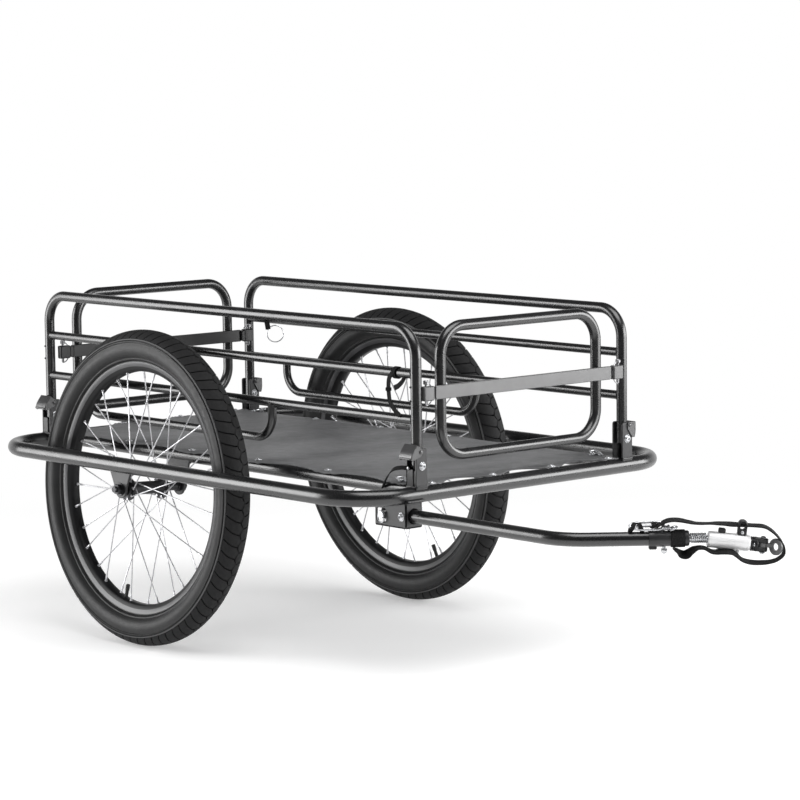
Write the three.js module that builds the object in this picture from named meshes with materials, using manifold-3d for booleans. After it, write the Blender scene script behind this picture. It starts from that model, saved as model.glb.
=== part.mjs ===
// A two-wheeled cargo bike trailer, in millimetres.
// +X runs forward to the hitch, +Y to the trailer's left and +Z up.
// While the pieces are made, X is 0 at the axle line, Y at the middle and Z at the ground.
import * as THREE from "three";
import { mergeVertices } from "three/addons/utils/BufferGeometryUtils.js";
import Module from "manifold-3d";

const wasm = await Module();
wasm.setup();

// Clearances and overruns.
const gap = 0.3;
const boltClearance = 0.4;
const overrun = 2;
const mergeDistance = 1e-4;
const seamDistance = 1e-3;

// Facet counts.
const tubeSides = 10;
const boreSides = 12;
const smallSides = 8;
const cornerSteps = 5;
const spokeSides = 4;
const ringSides = 4;
const wheelSteps = 36;
const tyreOuterSteps = 8;
const tyreInnerSteps = 5;

// Frame: the outer loop runs outside the wheels, the inner rails run under the deck's edges.
const loopTube = 25;
const loopHalfWidth = 334.6;
const loopAboveAxle = 43.3;
const loopFront = 597.7;
const loopRear = -351.7;
const loopCorner = 91;
const railTube = 20;
const railInset = 77;

// Side panels: an inverted U hoop with two thin rails and a guard beside the wheel.
const hoopTube = 17;
const thinTube = 14;
const postOutset = 14.3;
const frontPostInset = 1.5;
const rearPostInset = 7.4;
const hingeBelowTop = 26.5;
const hoopRise = 205.9;
const hoopCorner = 45;
const upperRailShare = 0.666;
const lowerRailShare = 0.332;
const guardDropShare = 0.84;
const guardFront = 256;
const guardRear = -238;
const guardCorner = 38;

// Gates: a closed tube loop with a flat bar across it.
const gateSideSpace = 53.6;
const gateTopDrop = 1.5;
const gateBottomRise = 7.9;
const gateCorner = 45;
const gateInset = 4.8;
const barHeight = 21;
const barThickness = 5;
const barEndSpace = 31.9;
const barHeightShare = 0.507;

// Clamps that hold the bar's ends to the posts, with a pull pin in each.
const clampGap = 3.9;
const clampHeight = 22;
const clampWall = 4.5;
const clampWrap = 6.7;
const clampLip = 2.4;
const tabReach = 3.4;
const tabThickness = 3;
const tabHeight = 18;
const clampPinInset = 13.5;
const clampPinRadius = 2;
const clampPinBelow = 7;
const clampPinAbove = 3;
const ringRadius = 4.5;
const ringWire = 1.1;
const ringSteps = 8;

// Corner brackets: upright channels, open to the inside, that the posts are bolted in.
const bracketWall = 3;
const bracketDepth = 22;
const bracketHeight = 62.3;
const bracketWebHeight = 31.3;
const bracketSeat = 4.7;
const hingeBoltRadius = 3;
const boltHeadRadius = 5.5;
const boltHeadHeight = 3.5;

// Latch flaps: pressed covers that turn on the outer side of each bracket.
const flapHeight = 25;
const flapReach = 5.9;
const flapWall = 1.8;
const flapPivotInset = 13.5;
const flapPivotBelowTop = 5;
const flapPegRadius = 2;
const flapCheek = 4.5;
const flapCheekStep = 10;
const flapFoot = 7.5;
const flapOpenAngle = 36;

// Deck: a sheet drawn tight over the rails.
const deckThickness = 2.4;
const deckOverhang = 11;
const deckEndInset = 4;
const deckNotchLength = 40;
const deckNotchDepth = 9;

// Wheels: they lean in a little at the top.
const tyreDiameter = 516;
const tyreWidth = 54;
const tyreWall = 5;
const wheelInset = 52.6;
const camberAngle = 3.25;
const rimWidth = 28;
const rimLip = 2;
const rimDepth = 16.5;
const rimWellDepth = 7;
const rimShoulder = 7;
const rimCrownWidth = 18;
const hubFlangeSpacing = 66;
const hubFlangeRadius = 19.5;
const hubFlangeThickness = 3;
const hubShellRadius = 10.5;
const hubEndReach = 5;
const hubEndRadius = 9;
const spokeRadius = 1.1;
const spokeCount = 32;
const spokeSweepAngle = 62;
const spokeSeatInset = 3;
const spokeStagger = 2.2;
const spokeRimSpread = 3;
const valveRadius = 3;
const valveReach = 22;
const rightValveAngle = -13;
const leftValveAngle = 23.5;

// Axles and the plates that carry them.
const axleRadius = 5;
const axleOuterProud = 5.1;
const axleInnerProud = 1.1;
const axleNutRadius = 9;
const axleNutHeight = 8;
const axleNutSides = 6;
const axleSpacerRadius = 8;
const plateThickness = 4;
const plateTopHalfWidth = 33;
const plateEndRadius = 15;
const outerPlateInset = 5.6;
const innerPlateOutset = 6;

// Tow arm: a tube from a box bracket under one front corner, bent towards the middle.
const towTube = 20.4;
const towSideInset = 99.8;
const towBoxWidth = 33;
const towBoxLength = 70;
const towBoxHeight = 40;
const towBoxAhead = 8;
const towBoxSeat = 3.6;
const towTubeBelowTop = 22;
const towTubeInside = 64;
const towBendAhead = 325.3;
const towBendAngle = 50;
const towBendRadius = 80;
const towTubeEnd = 145;
const towBoltRadius = 4;
const towBoltInset = 10;
const lockPinRadius = 3;
const lockPinInset = 52;
const lockPinHeadRadius = 6;
const lockPinHeadLength = 5;

// Coupler: sleeve, spring, barrel, knuckle and hitch plate in a row beyond the bend.
const sleeveRadius = 11.8;
const sleeveOverlap = 24;
const sleeveLength = 58;
const springRadius = 8;
const springWire = 2.6;
const springTurns = 5;
const springSteps = 8;
const springSides = 5;
const springSpace = 26;
const springEndSpace = 0.4;
const barrelRadius = 12;
const barrelLength = 61;
const couplerDroop = 7;
const knuckleRadius = 9.5;
const knuckleLength = 8;
const forkLength = 10;
const forkHalfWidth = 7.5;
const forkEarThickness = 4.5;
const forkOpening = 6.6;
const hitchPinRadius = 2.5;
const hitchEyeRadius = 6.5;
const hitchArmHalfWidth = 4;
const hitchPlateReach = 11.5;
const hitchPlateOffset = 10;
const hitchPlateRadius = 12;
const hitchPlateThickness = 4;
const hitchHoleRadius = 5.2;

// Safety strap: a webbing band round the sleeve, with both ends at the hitch plate.
const strapWidth = 20;
const strapThickness = 2.2;
const strapSteps = 10;
const strapInset = 6;
const strapTopRise = 21;
const strapTopSlope = 5;
const strapLowDrop = 17;
const strapLowSag = 14;
const strapPastPivot = 13;

const camber = THREE.MathUtils.degToRad(camberAngle);
const towBend = THREE.MathUtils.degToRad(towBendAngle);
const ends = { front: 1, rear: -1 };
const sides = { right: -1, left: 1 };
const valveAngles = { right: rightValveAngle, left: leftValveAngle };
const tyreCentreRadius = (tyreDiameter - tyreWidth) / 2;
const tyreOpening = Math.asin((rimWidth / 2 - rimLip) / (tyreWidth / 2));
const tyreSeat = tyreCentreRadius - (tyreWidth / 2) * Math.cos(tyreOpening);
const rimTop = tyreSeat - gap;
const rimInnerRadius = rimTop - rimDepth;
const valveEndRadius = rimInnerRadius - valveReach;
const wheelHeight = tyreCentreRadius * Math.cos(camber) + tyreWidth / 2;
const wheelHalfTrack = loopHalfWidth - wheelInset;
const hubHalfLength = hubFlangeSpacing / 2 + hubEndReach;
const loopHeight = wheelHeight + loopAboveAxle;
const loopTop = loopHeight + loopTube / 2;
const railHalfWidth = wheelHalfTrack - railInset;
const railHeight = loopTop - railTube / 2;
const outerPlateHalfWidth = loopHalfWidth - outerPlateInset;
const innerPlateHalfWidth = railHalfWidth + innerPlateOutset;
const deckHalfWidth = railHalfWidth + deckOverhang;
const postHalfWidth = railHalfWidth + postOutset;
const postX = { front: loopFront - frontPostInset, rear: loopRear + rearPostInset };
const gateX = { front: postX.front - gateInset, rear: postX.rear + gateInset };
const bracketBottom = loopTop - bracketSeat;
const bracketTop = bracketBottom + bracketHeight;
const hingeHeight = bracketTop - hingeBelowTop;
const hoopTop = hingeHeight + hoopRise;
const upperRailHeight = hingeHeight + upperRailShare * hoopRise;
const lowerRailHeight = hingeHeight + lowerRailShare * hoopRise;
const guardBottom = lowerRailHeight - guardDropShare * (lowerRailHeight - hingeHeight);
const gateHalfWidth = postHalfWidth - gateSideSpace;
const gateTop = hoopTop - gateTopDrop;
const gateBottom = hingeHeight + gateBottomRise;
const barHalfLength = postHalfWidth - barEndSpace;
const barMiddle = gateBottom + barHeightShare * (gateTop - gateBottom);
const flangeInner = hoopTube / 2 + gap;
const flangeOuter = flangeInner + bracketWall;
const bracketOuterY = postHalfWidth + flangeOuter;
const bracketInnerY = bracketOuterY - bracketDepth;
const flapOuterY = bracketOuterY + flapReach;
const flapPivotY = flapOuterY - flapPivotInset;
const flapPivotZ = bracketTop - flapPivotBelowTop;
const towSide = loopHalfWidth - towSideInset;
const towBoxTop = loopHeight - loopTube / 2 + towBoxSeat;
const towHeight = towBoxTop - towTubeBelowTop;
const towBendX = loopFront + towBendAhead;
const sleeveStart = towTubeEnd - sleeveOverlap;
const strapLoopStart = sleeveStart + strapInset;
const strapBesideCoupler = springSpace + barrelLength + knuckleLength + forkLength;
const strapEnd = sleeveStart + sleeveLength + strapBesideCoupler + strapPastPivot;

const finishes = {
  blackTube: { color: 0x141416, metalness: 0.55, roughness: 0.34 },
  blackPlate: { color: 0x1b1b1d, metalness: 0.45, roughness: 0.45 },
  greyPaint: { color: 0x3a3b3d, metalness: 0.4, roughness: 0.42 },
  steel: { color: 0xb9bcc0, metalness: 1, roughness: 0.28 },
  aluminium: { color: 0xd2d4d6, metalness: 1, roughness: 0.38 },
  rubber: { color: 0x2b2c2e, metalness: 0, roughness: 0.8 },
  deckCloth: { color: 0x55575a, metalness: 0, roughness: 0.72 },
  webbing: { color: 0x2a2a2c, metalness: 0, roughness: 0.85 },
};

const trailer = new THREE.Group();

function add(name, finish, geometry, parent = trailer) {
  geometry.computeVertexNormals();
  const mesh = new THREE.Mesh(geometry, new THREE.MeshStandardMaterial(finishes[finish]));
  mesh.name = name;
  parent.add(mesh);
}

function solid(geometry) {
  const bare = geometry.clone();
  bare.deleteAttribute("normal");
  bare.deleteAttribute("uv");
  const merged = mergeVertices(bare, mergeDistance);
  const mesh = new wasm.Mesh({
    numProp: 3,
    vertProperties: merged.attributes.position.array,
    triVerts: new Uint32Array(merged.index.array),
  });
  return new wasm.Manifold(mesh);
}

function geometryOf(manifold) {
  const mesh = manifold.getMesh();
  const geometry = new THREE.BufferGeometry();
  geometry.setAttribute("position", new THREE.BufferAttribute(mesh.vertProperties, 3));
  geometry.setIndex(new THREE.BufferAttribute(mesh.triVerts, 1));
  return geometry;
}

function join(...geometries) {
  return geometryOf(geometries.map(solid).reduce((a, b) => a.add(b)));
}

function cut(geometry, ...tools) {
  return geometryOf(tools.map(solid).reduce((a, b) => a.subtract(b), solid(geometry)));
}

// The same shape on the other side of the middle plane, with its faces turned out again.
function mirrored(geometry) {
  const copy = geometry.index ? geometry.toNonIndexed() : geometry.clone();
  copy.deleteAttribute("normal");
  copy.deleteAttribute("uv");
  copy.scale(1, -1, 1);
  const places = copy.attributes.position;
  const held = new THREE.Vector3();
  const moved = new THREE.Vector3();
  for (let i = 0; i < places.count; i += 3) {
    held.fromBufferAttribute(places, i + 1);
    moved.fromBufferAttribute(places, i + 2);
    places.setXYZ(i + 1, moved.x, moved.y, moved.z);
    places.setXYZ(i + 2, held.x, held.y, held.z);
  }
  return mergeVertices(copy, mergeDistance);
}

function onSide(side, geometry) {
  return sides[side] > 0 ? geometry : mirrored(geometry);
}

// A box between two places on each axis, given in any order.
function block(...ranges) {
  const size = ranges.map(([a, b]) => Math.abs(b - a));
  const middle = ranges.map(([a, b]) => (a + b) / 2);
  return new THREE.BoxGeometry(...size).translate(...middle);
}

function rod(from, to, radius, count = smallSides) {
  const start = new THREE.Vector3(...from);
  const along = new THREE.Vector3(...to).sub(start);
  const bar = new THREE.CylinderGeometry(radius, radius, along.length(), count);
  const turn = new THREE.Quaternion();
  turn.setFromUnitVectors(new THREE.Vector3(0, 1, 0), along.clone().normalize());
  const middle = start.addScaledVector(along, 0.5);
  return bar.applyQuaternion(turn).translate(middle.x, middle.y, middle.z);
}

// A cutting bar whose flats stand clear of the round bar that it is cut for.
function bore(from, to, radius, clearance = gap) {
  return rod(from, to, (radius + clearance) / Math.cos(Math.PI / boreSides), boreSides);
}

// A path through chosen places with their directions, so that a straight run is one step.
class PlacedPath extends THREE.Curve {
  constructor(places) {
    super();
    this.places = places;
  }
  place(share) {
    return this.places[Math.round(share * (this.places.length - 1))];
  }
  getPointAt(share) {
    return this.place(share).point.clone();
  }
  getTangentAt(share) {
    return this.place(share).direction.clone();
  }
}

// The places along an arc that turns one straight run into the next.
function cornerPlaces(before, corner, after, radius) {
  const into = corner.clone().sub(before).normalize();
  const out = after.clone().sub(corner).normalize();
  const turn = into.angleTo(out);
  const start = corner.clone().addScaledVector(into, -radius * Math.tan(turn / 2));
  const inward = out.clone().addScaledVector(into, -into.dot(out)).normalize();
  return Array.from({ length: cornerSteps + 1 }, (_, step) => {
    const angle = (turn * step) / cornerSteps;
    const point = start.clone().addScaledVector(into, radius * Math.sin(angle));
    point.addScaledVector(inward, radius * (1 - Math.cos(angle)));
    const direction = into.clone().multiplyScalar(Math.cos(angle));
    return { point, direction: direction.addScaledVector(inward, Math.sin(angle)) };
  });
}

function tubeSection(radius, count) {
  const angles = Array.from({ length: count }, (_, i) => ((i + 0.5) * 2 * Math.PI) / count);
  const corners = angles.map((angle) => new THREE.Vector2(Math.cos(angle), Math.sin(angle)));
  return new THREE.Shape(corners.map((corner) => corner.multiplyScalar(radius)));
}

function sweep(section, places) {
  const settings = { steps: places.length - 1, extrudePath: new PlacedPath(places) };
  return new THREE.ExtrudeGeometry(section, settings);
}

// A tube with two ends, bent at its inner corners.
function bentTube(corners, diameter, cornerRadius) {
  const points = corners.map((corner) => new THREE.Vector3(...corner));
  const last = points.length - 1;
  const entering = points[1].clone().sub(points[0]).normalize();
  const places = [{ point: points[0], direction: entering }];
  for (let i = 1; i < last; i++) {
    places.push(...cornerPlaces(points[i - 1], points[i], points[i + 1], cornerRadius));
  }
  const leaving = points[last].clone().sub(points[last - 1]).normalize();
  places.push({ point: points[last], direction: leaving });
  return sweep(tubeSection(diameter / 2, tubeSides), places);
}

// A tube bent into a closed rectangle, whose walls meet end to end, so it has no end caps.
function closedTube(corners, diameter, cornerRadius) {
  const points = corners.map((corner) => new THREE.Vector3(...corner));
  const count = points.length;
  const places = points.flatMap((corner, i) =>
    cornerPlaces(points[(i + count - 1) % count], corner, points[(i + 1) % count], cornerRadius),
  );
  places.push(places[0]);
  const swept = sweep(tubeSection(diameter / 2, tubeSides), places);
  const walls = swept.groups[1];
  const numbers = swept.attributes.position.array;
  const wallNumbers = numbers.slice(walls.start * 3, (walls.start + walls.count) * 3);
  const tube = new THREE.BufferGeometry();
  tube.setAttribute("position", new THREE.BufferAttribute(wallNumbers, 3));
  return mergeVertices(tube, seamDistance);
}

// A ring turned about Y from a closed outline of radius and Y places, in either order.
function ring(outline, steps = wheelSteps) {
  const points = outline.map(([radius, y]) => new THREE.Vector2(radius, y));
  if (THREE.ShapeUtils.isClockWise(points)) points.reverse();
  points.push(points[0].clone());
  return new THREE.LatheGeometry(points, steps);
}

// Plates: an outline of X and Z places stood across Y, and one of Y and Z places stood across X.
function plateAcrossY(outline, y, thickness) {
  const shape = new THREE.Shape(outline.map(([x, z]) => new THREE.Vector2(x, z)));
  const plate = new THREE.ExtrudeGeometry(shape, { depth: thickness, bevelEnabled: false });
  return plate.rotateX(Math.PI / 2).translate(0, y + thickness / 2, 0);
}

function plateAcrossX(outline, x, thickness) {
  const shape = new THREE.Shape(outline.map(([y, z]) => new THREE.Vector2(y, z)));
  const plate = new THREE.ExtrudeGeometry(shape, { depth: thickness, bevelEnabled: false });
  const axes = [new THREE.Vector3(0, 1, 0), new THREE.Vector3(0, 0, 1), new THREE.Vector3(1, 0, 0)];
  return plate.applyMatrix4(new THREE.Matrix4().makeBasis(...axes)).translate(x, 0, 0);
}

function arc(radius, from, to, steps) {
  return Array.from({ length: steps + 1 }, (_, i) => {
    const angle = from + ((to - from) * i) / steps;
    return [radius * Math.cos(angle), radius * Math.sin(angle)];
  });
}

function outerLoop(diameter) {
  const corners = [
    [loopFront, -loopHalfWidth, loopHeight],
    [loopFront, loopHalfWidth, loopHeight],
    [loopRear, loopHalfWidth, loopHeight],
    [loopRear, -loopHalfWidth, loopHeight],
  ];
  return closedTube(corners, diameter, loopCorner);
}

function makeFrame() {
  add("outer_loop", "blackTube", outerLoop(loopTube));
  for (const side in sides) {
    const place = (x) => [x, railHalfWidth, railHeight];
    const rail = rod(place(loopRear), place(loopFront), railTube / 2, tubeSides);
    add(`inner_rail_${side}`, "blackTube", onSide(side, cut(rail, loopBore())));
  }
}

// Cutting tubes for the pieces that are welded to the outer loop or to an inner rail.
function loopBore() {
  return outerLoop(loopTube + 2 * gap);
}

function innerRailBore() {
  const x = [loopRear - loopTube, loopFront + loopTube];
  return bore([x[0], railHalfWidth, railHeight], [x[1], railHalfWidth, railHeight], railTube / 2);
}

function makeDeck() {
  const front = loopFront + deckEndInset;
  const rear = loopRear - deckEndInset;
  const notch = deckHalfWidth - deckNotchDepth;
  const half = [
    [front, notch],
    [front - deckNotchLength, notch],
    [front - deckNotchLength, deckHalfWidth],
    [rear + deckNotchLength, deckHalfWidth],
    [rear + deckNotchLength, notch],
    [rear, notch],
  ];
  const outline = half.concat(half.map(([x, y]) => [x, -y]).reverse());
  const shape = new THREE.Shape(outline.map(([x, y]) => new THREE.Vector2(x, y)));
  const sheet = new THREE.ExtrudeGeometry(shape, { depth: deckThickness, bevelEnabled: false });
  add("deck_sheet", "deckCloth", sheet.translate(0, 0, loopTop + gap));
}

function makeBracket(end, side) {
  const x = postX[end];
  const flange = (toward) =>
    block(
      [x + toward * flangeInner, x + toward * flangeOuter],
      [bracketInnerY, bracketOuterY],
      [bracketBottom, bracketTop],
    );
  const webInner = bracketOuterY - bracketWall;
  const web = block(
    [x - flangeOuter, x + flangeOuter],
    [webInner, bracketOuterY],
    [bracketBottom, bracketBottom + bracketWebHeight],
  );
  const across = (y, z, radius) => {
    const reach = flangeOuter + overrun;
    return bore([x - reach, y, z], [x + reach, y, z], radius, boltClearance);
  };
  const channel = cut(
    join(flange(1), flange(-1), web),
    loopBore(),
    innerRailBore(),
    across(postHalfWidth, hingeHeight, hingeBoltRadius),
    across(flapPivotY, flapPivotZ, flapPegRadius),
  );
  add(`corner_bracket_${end}_${side}`, "blackPlate", onSide(side, channel));
  const hinge = [x, postHalfWidth, hingeHeight];
  const bolt = doubleHeaded(hinge, [1, 0, 0], flangeOuter + gap, hingeBoltRadius);
  add(`hinge_bolt_${end}_${side}`, "steel", onSide(side, bolt));
}

// A bolt with a head and a nut, a given half length each way from its middle.
function doubleHeaded(middle, direction, half, radius) {
  const at = (distance) => middle.map((value, i) => value + direction[i] * distance);
  const shank = rod(at(-half - boltHeadHeight / 2), at(half + boltHeadHeight / 2), radius);
  const head = rod(at(half), at(half + boltHeadHeight), boltHeadRadius);
  const nut = rod(at(-half), at(-half - boltHeadHeight), boltHeadRadius, axleNutSides);
  return join(shank, head, nut);
}

function makeFlap(end, side) {
  const x = postX[end];
  const top = bracketTop;
  const bottom = top - flapHeight;
  const cheek = [
    [flapOuterY, bottom],
    [flapOuterY, top],
    [flapPivotY - flapCheek, top],
    [flapPivotY - flapCheek, top - flapCheekStep],
    [flapOuterY - flapFoot, bottom],
  ];
  const inner = flangeOuter + gap;
  const outer = inner + flapWall;
  const face = block([x - outer, x + outer], [flapOuterY - flapWall, flapOuterY], [bottom, top]);
  const peg = (toward) => {
    const place = (distance) => [x + toward * distance, flapPivotY, flapPivotZ];
    return rod(place(flangeInner), place(inner + flapWall / 2), flapPegRadius);
  };
  const cheeks = [plateAcrossX(cheek, x - outer, flapWall), plateAcrossX(cheek, x + inner, flapWall)];
  const flap = join(face, ...cheeks, peg(1), peg(-1));
  if (side === "right") {
    flap.translate(0, -flapPivotY, -flapPivotZ);
    flap.rotateX(THREE.MathUtils.degToRad(flapOpenAngle));
    flap.translate(0, flapPivotY, flapPivotZ);
  }
  add(`latch_flap_${end}_${side}`, "steel", onSide(side, flap));
}

function makeSide(side) {
  const y = postHalfWidth;
  const { front, rear } = postX;
  const hoopCorners = [
    [rear, y, hingeHeight],
    [rear, y, hoopTop],
    [front, y, hoopTop],
    [front, y, hingeHeight],
  ];
  const eyeHalf = hoopTube / 2 - gap;
  const hinge = (x) => [x, y, hingeHeight];
  const eye = (x) => rod(hinge(x - eyeHalf), hinge(x + eyeHalf), hoopTube / 2, tubeSides);
  const boltEnds = [hinge(rear - hoopTube), hinge(front + hoopTube)];
  const boltHole = bore(...boltEnds, hingeBoltRadius, boltClearance);
  const hoop = cut(join(bentTube(hoopCorners, hoopTube, hoopCorner), eye(front), eye(rear)), boltHole);
  add(`side_hoop_${side}`, "blackTube", onSide(side, hoop));
  const rails = { upper: upperRailHeight, lower: lowerRailHeight };
  for (const [name, z] of Object.entries(rails)) {
    const rail = rod([rear, y, z], [front, y, z], thinTube / 2, tubeSides);
    const coped = cut(rail, postBore("front"), postBore("rear"));
    add(`${name}_rail_${side}`, "blackTube", onSide(side, coped));
  }
  const guardCorners = [
    [guardRear, y, lowerRailHeight],
    [guardRear, y, guardBottom],
    [guardFront, y, guardBottom],
    [guardFront, y, lowerRailHeight],
  ];
  const railBore = bore([rear, y, lowerRailHeight], [front, y, lowerRailHeight], thinTube / 2);
  const guard = cut(bentTube(guardCorners, thinTube, guardCorner), railBore);
  add(`wheel_guard_${side}`, "blackTube", onSide(side, guard));
}

function postBore(end) {
  const place = (z) => [postX[end], postHalfWidth, z];
  return bore(place(hingeHeight), place(hoopTop), hoopTube / 2);
}

// The gate bar's rear and front faces, both ahead of the gate's loop.
function barFaces(end) {
  const rearFace = gateX[end] + hoopTube / 2 + gap;
  return { rear: rearFace, front: rearFace + barThickness };
}

// The clamp block's places along X: a tab on the inner side of the bar, open to the outer side.
function clampPlaces(end) {
  const faces = barFaces(end);
  const outward = ends[end];
  const inner = outward > 0 ? faces.rear : faces.front;
  const outer = outward > 0 ? faces.front : faces.rear;
  const tab = inner - outward * gap;
  return { tab, back: tab - outward * tabThickness, lip: outer + outward * clampLip };
}

function makeClamp(end, side) {
  const x = postX[end];
  const places = clampPlaces(end);
  const height = [barMiddle - clampHeight / 2, barMiddle + clampHeight / 2];
  const inner = barHalfLength + clampGap;
  const postInner = postHalfWidth - hoopTube / 2;
  const saddleX = [x, x + hoopTube / 2 + gap + clampWall];
  const saddle = block(saddleX, [postInner - overrun, postHalfWidth + clampWrap], height);
  const body = block([places.back, places.lip], [inner, postInner], height);
  const tabHeights = [barMiddle - tabHeight / 2, barMiddle + tabHeight / 2];
  const tab = block([places.back, places.tab], [barHalfLength - tabReach, inner + overrun], tabHeights);
  const pinX = (places.back + places.lip) / 2;
  const pinY = inner + clampPinInset;
  const pinAt = (z) => [pinX, pinY, z];
  const pinEnds = [pinAt(height[0] - overrun), pinAt(height[1] + overrun)];
  const pinHole = bore(...pinEnds, clampPinRadius, boltClearance);
  const clamp = cut(join(saddle, body, tab), postBore(end), pinHole);
  add(`gate_clamp_${end}_${side}`, "blackPlate", onSide(side, clamp));
  const pinTop = height[1] + clampPinAbove;
  const stem = rod(pinAt(height[0] - clampPinBelow), pinAt(pinTop), clampPinRadius);
  const pull = new THREE.TorusGeometry(ringRadius, ringWire, ringSides, ringSteps);
  pull.rotateX(Math.PI / 2).translate(pinX, pinY, pinTop + ringRadius);
  add(`clamp_pin_${end}_${side}`, "steel", onSide(side, join(stem, pull)));
}

function makeGate(end) {
  const x = gateX[end];
  const corners = [
    [x, -gateHalfWidth, gateBottom],
    [x, gateHalfWidth, gateBottom],
    [x, gateHalfWidth, gateTop],
    [x, -gateHalfWidth, gateTop],
  ];
  add(`gate_loop_${end}`, "blackTube", closedTube(corners, hoopTube, gateCorner));
  const faces = barFaces(end);
  const heights = [barMiddle - barHeight / 2, barMiddle + barHeight / 2];
  const bar = block([faces.rear, faces.front], [-barHalfLength, barHalfLength], heights);
  add(`gate_bar_${end}`, "greyPaint", bar);
}

// A place on the leaning left wheel's axle line, a given distance outward from the wheel's middle.
function axlePlace(outward) {
  return [0, wheelHalfTrack + outward * Math.cos(camber), wheelHeight + outward * Math.sin(camber)];
}

function makeHangers(side) {
  const ends = [axlePlace(-loopHalfWidth), axlePlace(loopHalfWidth)];
  const axleBore = bore(...ends, axleRadius, boltClearance);
  const hangers = {
    outer: { y: outerPlateHalfWidth, carrier: loopBore() },
    inner: { y: innerPlateHalfWidth, carrier: innerRailBore() },
  };
  for (const [name, { y, carrier }] of Object.entries(hangers)) {
    const axleZ = axlePlace(y - wheelHalfTrack)[2];
    const foot = arc(plateEndRadius, -Math.PI, 0, cornerSteps).map(([x, z]) => [x, axleZ + z]);
    const outline = [...foot, [plateTopHalfWidth, loopHeight], [-plateTopHalfWidth, loopHeight]];
    const plate = cut(plateAcrossY(outline, y, plateThickness), carrier, axleBore);
    add(`axle_hanger_${name}_${side}`, "blackPlate", onSide(side, plate));
  }
}

function makeAxle(side) {
  const lean = Math.tan(camber) * axleNutRadius + gap;
  const outerReach = outerPlateHalfWidth + plateThickness / 2 - wheelHalfTrack;
  const innerReach = innerPlateHalfWidth - plateThickness / 2 - wheelHalfTrack;
  const outerFace = outerReach / Math.cos(camber) + lean;
  const innerFace = innerReach / Math.cos(camber) - lean;
  const piece = (from, to, radius, count) => rod(axlePlace(from), axlePlace(to), radius, count);
  const thickness = plateThickness / Math.cos(camber) + 2 * lean;
  const outerNut = outerFace + axleNutHeight;
  const innerNut = innerFace - axleNutHeight;
  const axle = join(
    piece(innerNut - axleInnerProud, outerNut + axleOuterProud, axleRadius),
    piece(outerFace, outerNut, axleNutRadius, axleNutSides),
    piece(innerFace, innerNut, axleNutRadius, axleNutSides),
    piece(hubHalfLength + gap, outerFace - thickness, axleSpacerRadius),
    piece(-hubHalfLength - gap, innerFace + thickness, axleSpacerRadius),
  );
  add(`axle_${side}`, "steel", onSide(side, axle));
}

function makeTyre(side, wheel) {
  const outerRadius = tyreWidth / 2;
  const innerRadius = outerRadius - tyreWall;
  const innerOpening = Math.asin((rimWidth / 2 - rimLip - tyreWall) / innerRadius);
  const section = (radius, opening, steps) =>
    arc(radius, Math.PI - opening, opening - Math.PI, steps).map(([r, y]) => [tyreCentreRadius + r, y]);
  const outer = section(outerRadius, tyreOpening, tyreOuterSteps);
  const inner = section(innerRadius, innerOpening, tyreInnerSteps).reverse();
  const foot = rimWidth / 2 - rimLip - tyreWall;
  const outline = [...outer, [tyreSeat, -foot], ...inner, [tyreSeat, foot]];
  add(`tyre_${side}`, "rubber", ring(outline), wheel);
  const tube = ring(section(innerRadius - gap, innerOpening, tyreInnerSteps));
  const angle = THREE.MathUtils.degToRad(valveAngles[side]);
  const place = (radius) => [radius * Math.sin(angle), 0, -radius * Math.cos(angle)];
  const stem = rod(place(valveEndRadius), place(tyreCentreRadius), valveRadius);
  add(`inner_tube_${side}`, "rubber", join(tube, stem), wheel);
  const half = rimWidth / 2;
  const rimHalf = [
    [rimTop, half],
    [rimInnerRadius + rimShoulder, half],
    [rimInnerRadius, rimCrownWidth / 2],
  ];
  const wellHalf = [
    [rimTop - rimWellDepth, half - 2 * rimLip],
    [rimTop, half - rimLip],
  ];
  const otherSide = (points) => points.map(([r, y]) => [r, -y]).reverse();
  const rim = ring([...rimHalf, ...otherSide(rimHalf), ...otherSide(wellHalf), ...wellHalf]);
  const valveHole = bore(place(valveEndRadius), place(tyreCentreRadius), valveRadius, boltClearance);
  add(`rim_${side}`, "blackPlate", cut(rim, valveHole), wheel);
}

function makeHub(side, wheel) {
  const flangeMiddle = hubFlangeSpacing / 2;
  const flangeFaces = [flangeMiddle - hubFlangeThickness / 2, flangeMiddle + hubFlangeThickness / 2];
  const boreRadius = (axleRadius + gap) / Math.cos(Math.PI / boreSides);
  const half = [
    [hubShellRadius, flangeFaces[0]],
    [hubFlangeRadius, flangeFaces[0]],
    [hubFlangeRadius, flangeFaces[1]],
    [hubEndRadius, flangeFaces[1]],
    [hubEndRadius, hubHalfLength],
    [boreRadius, hubHalfLength],
  ];
  const otherHalf = half.map(([r, y]) => [r, -y]).reverse();
  const shell = ring([...otherHalf, ...half], boreSides);
  const pitch = (2 * Math.PI) / spokeCount;
  const valve = THREE.MathUtils.degToRad(valveAngles[side]);
  const crossing = THREE.MathUtils.degToRad(spokeSweepAngle);
  const rimEnd = rimInnerRadius * Math.cos(Math.PI / wheelSteps) - gap;
  const place = (radius, angle, y) => [radius * Math.sin(angle), y, -radius * Math.cos(angle)];
  const spokes = Array.from({ length: spokeCount }, (_, i) => {
    const flangeSide = i % 2 ? 1 : -1;
    const turn = i % 4 < 2 ? 1 : -1;
    const rimAngle = valve + (i + 0.5) * pitch;
    const seatY = flangeSide * flangeMiddle + turn * spokeStagger;
    const seat = place(hubFlangeRadius - spokeSeatInset, rimAngle + turn * crossing, seatY);
    const nipple = place(rimEnd, rimAngle, flangeSide * spokeRimSpread);
    return rod(seat, nipple, spokeRadius, spokeSides);
  });
  add(`hub_and_spokes_${side}`, "steel", join(shell, ...spokes), wheel);
}

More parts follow.
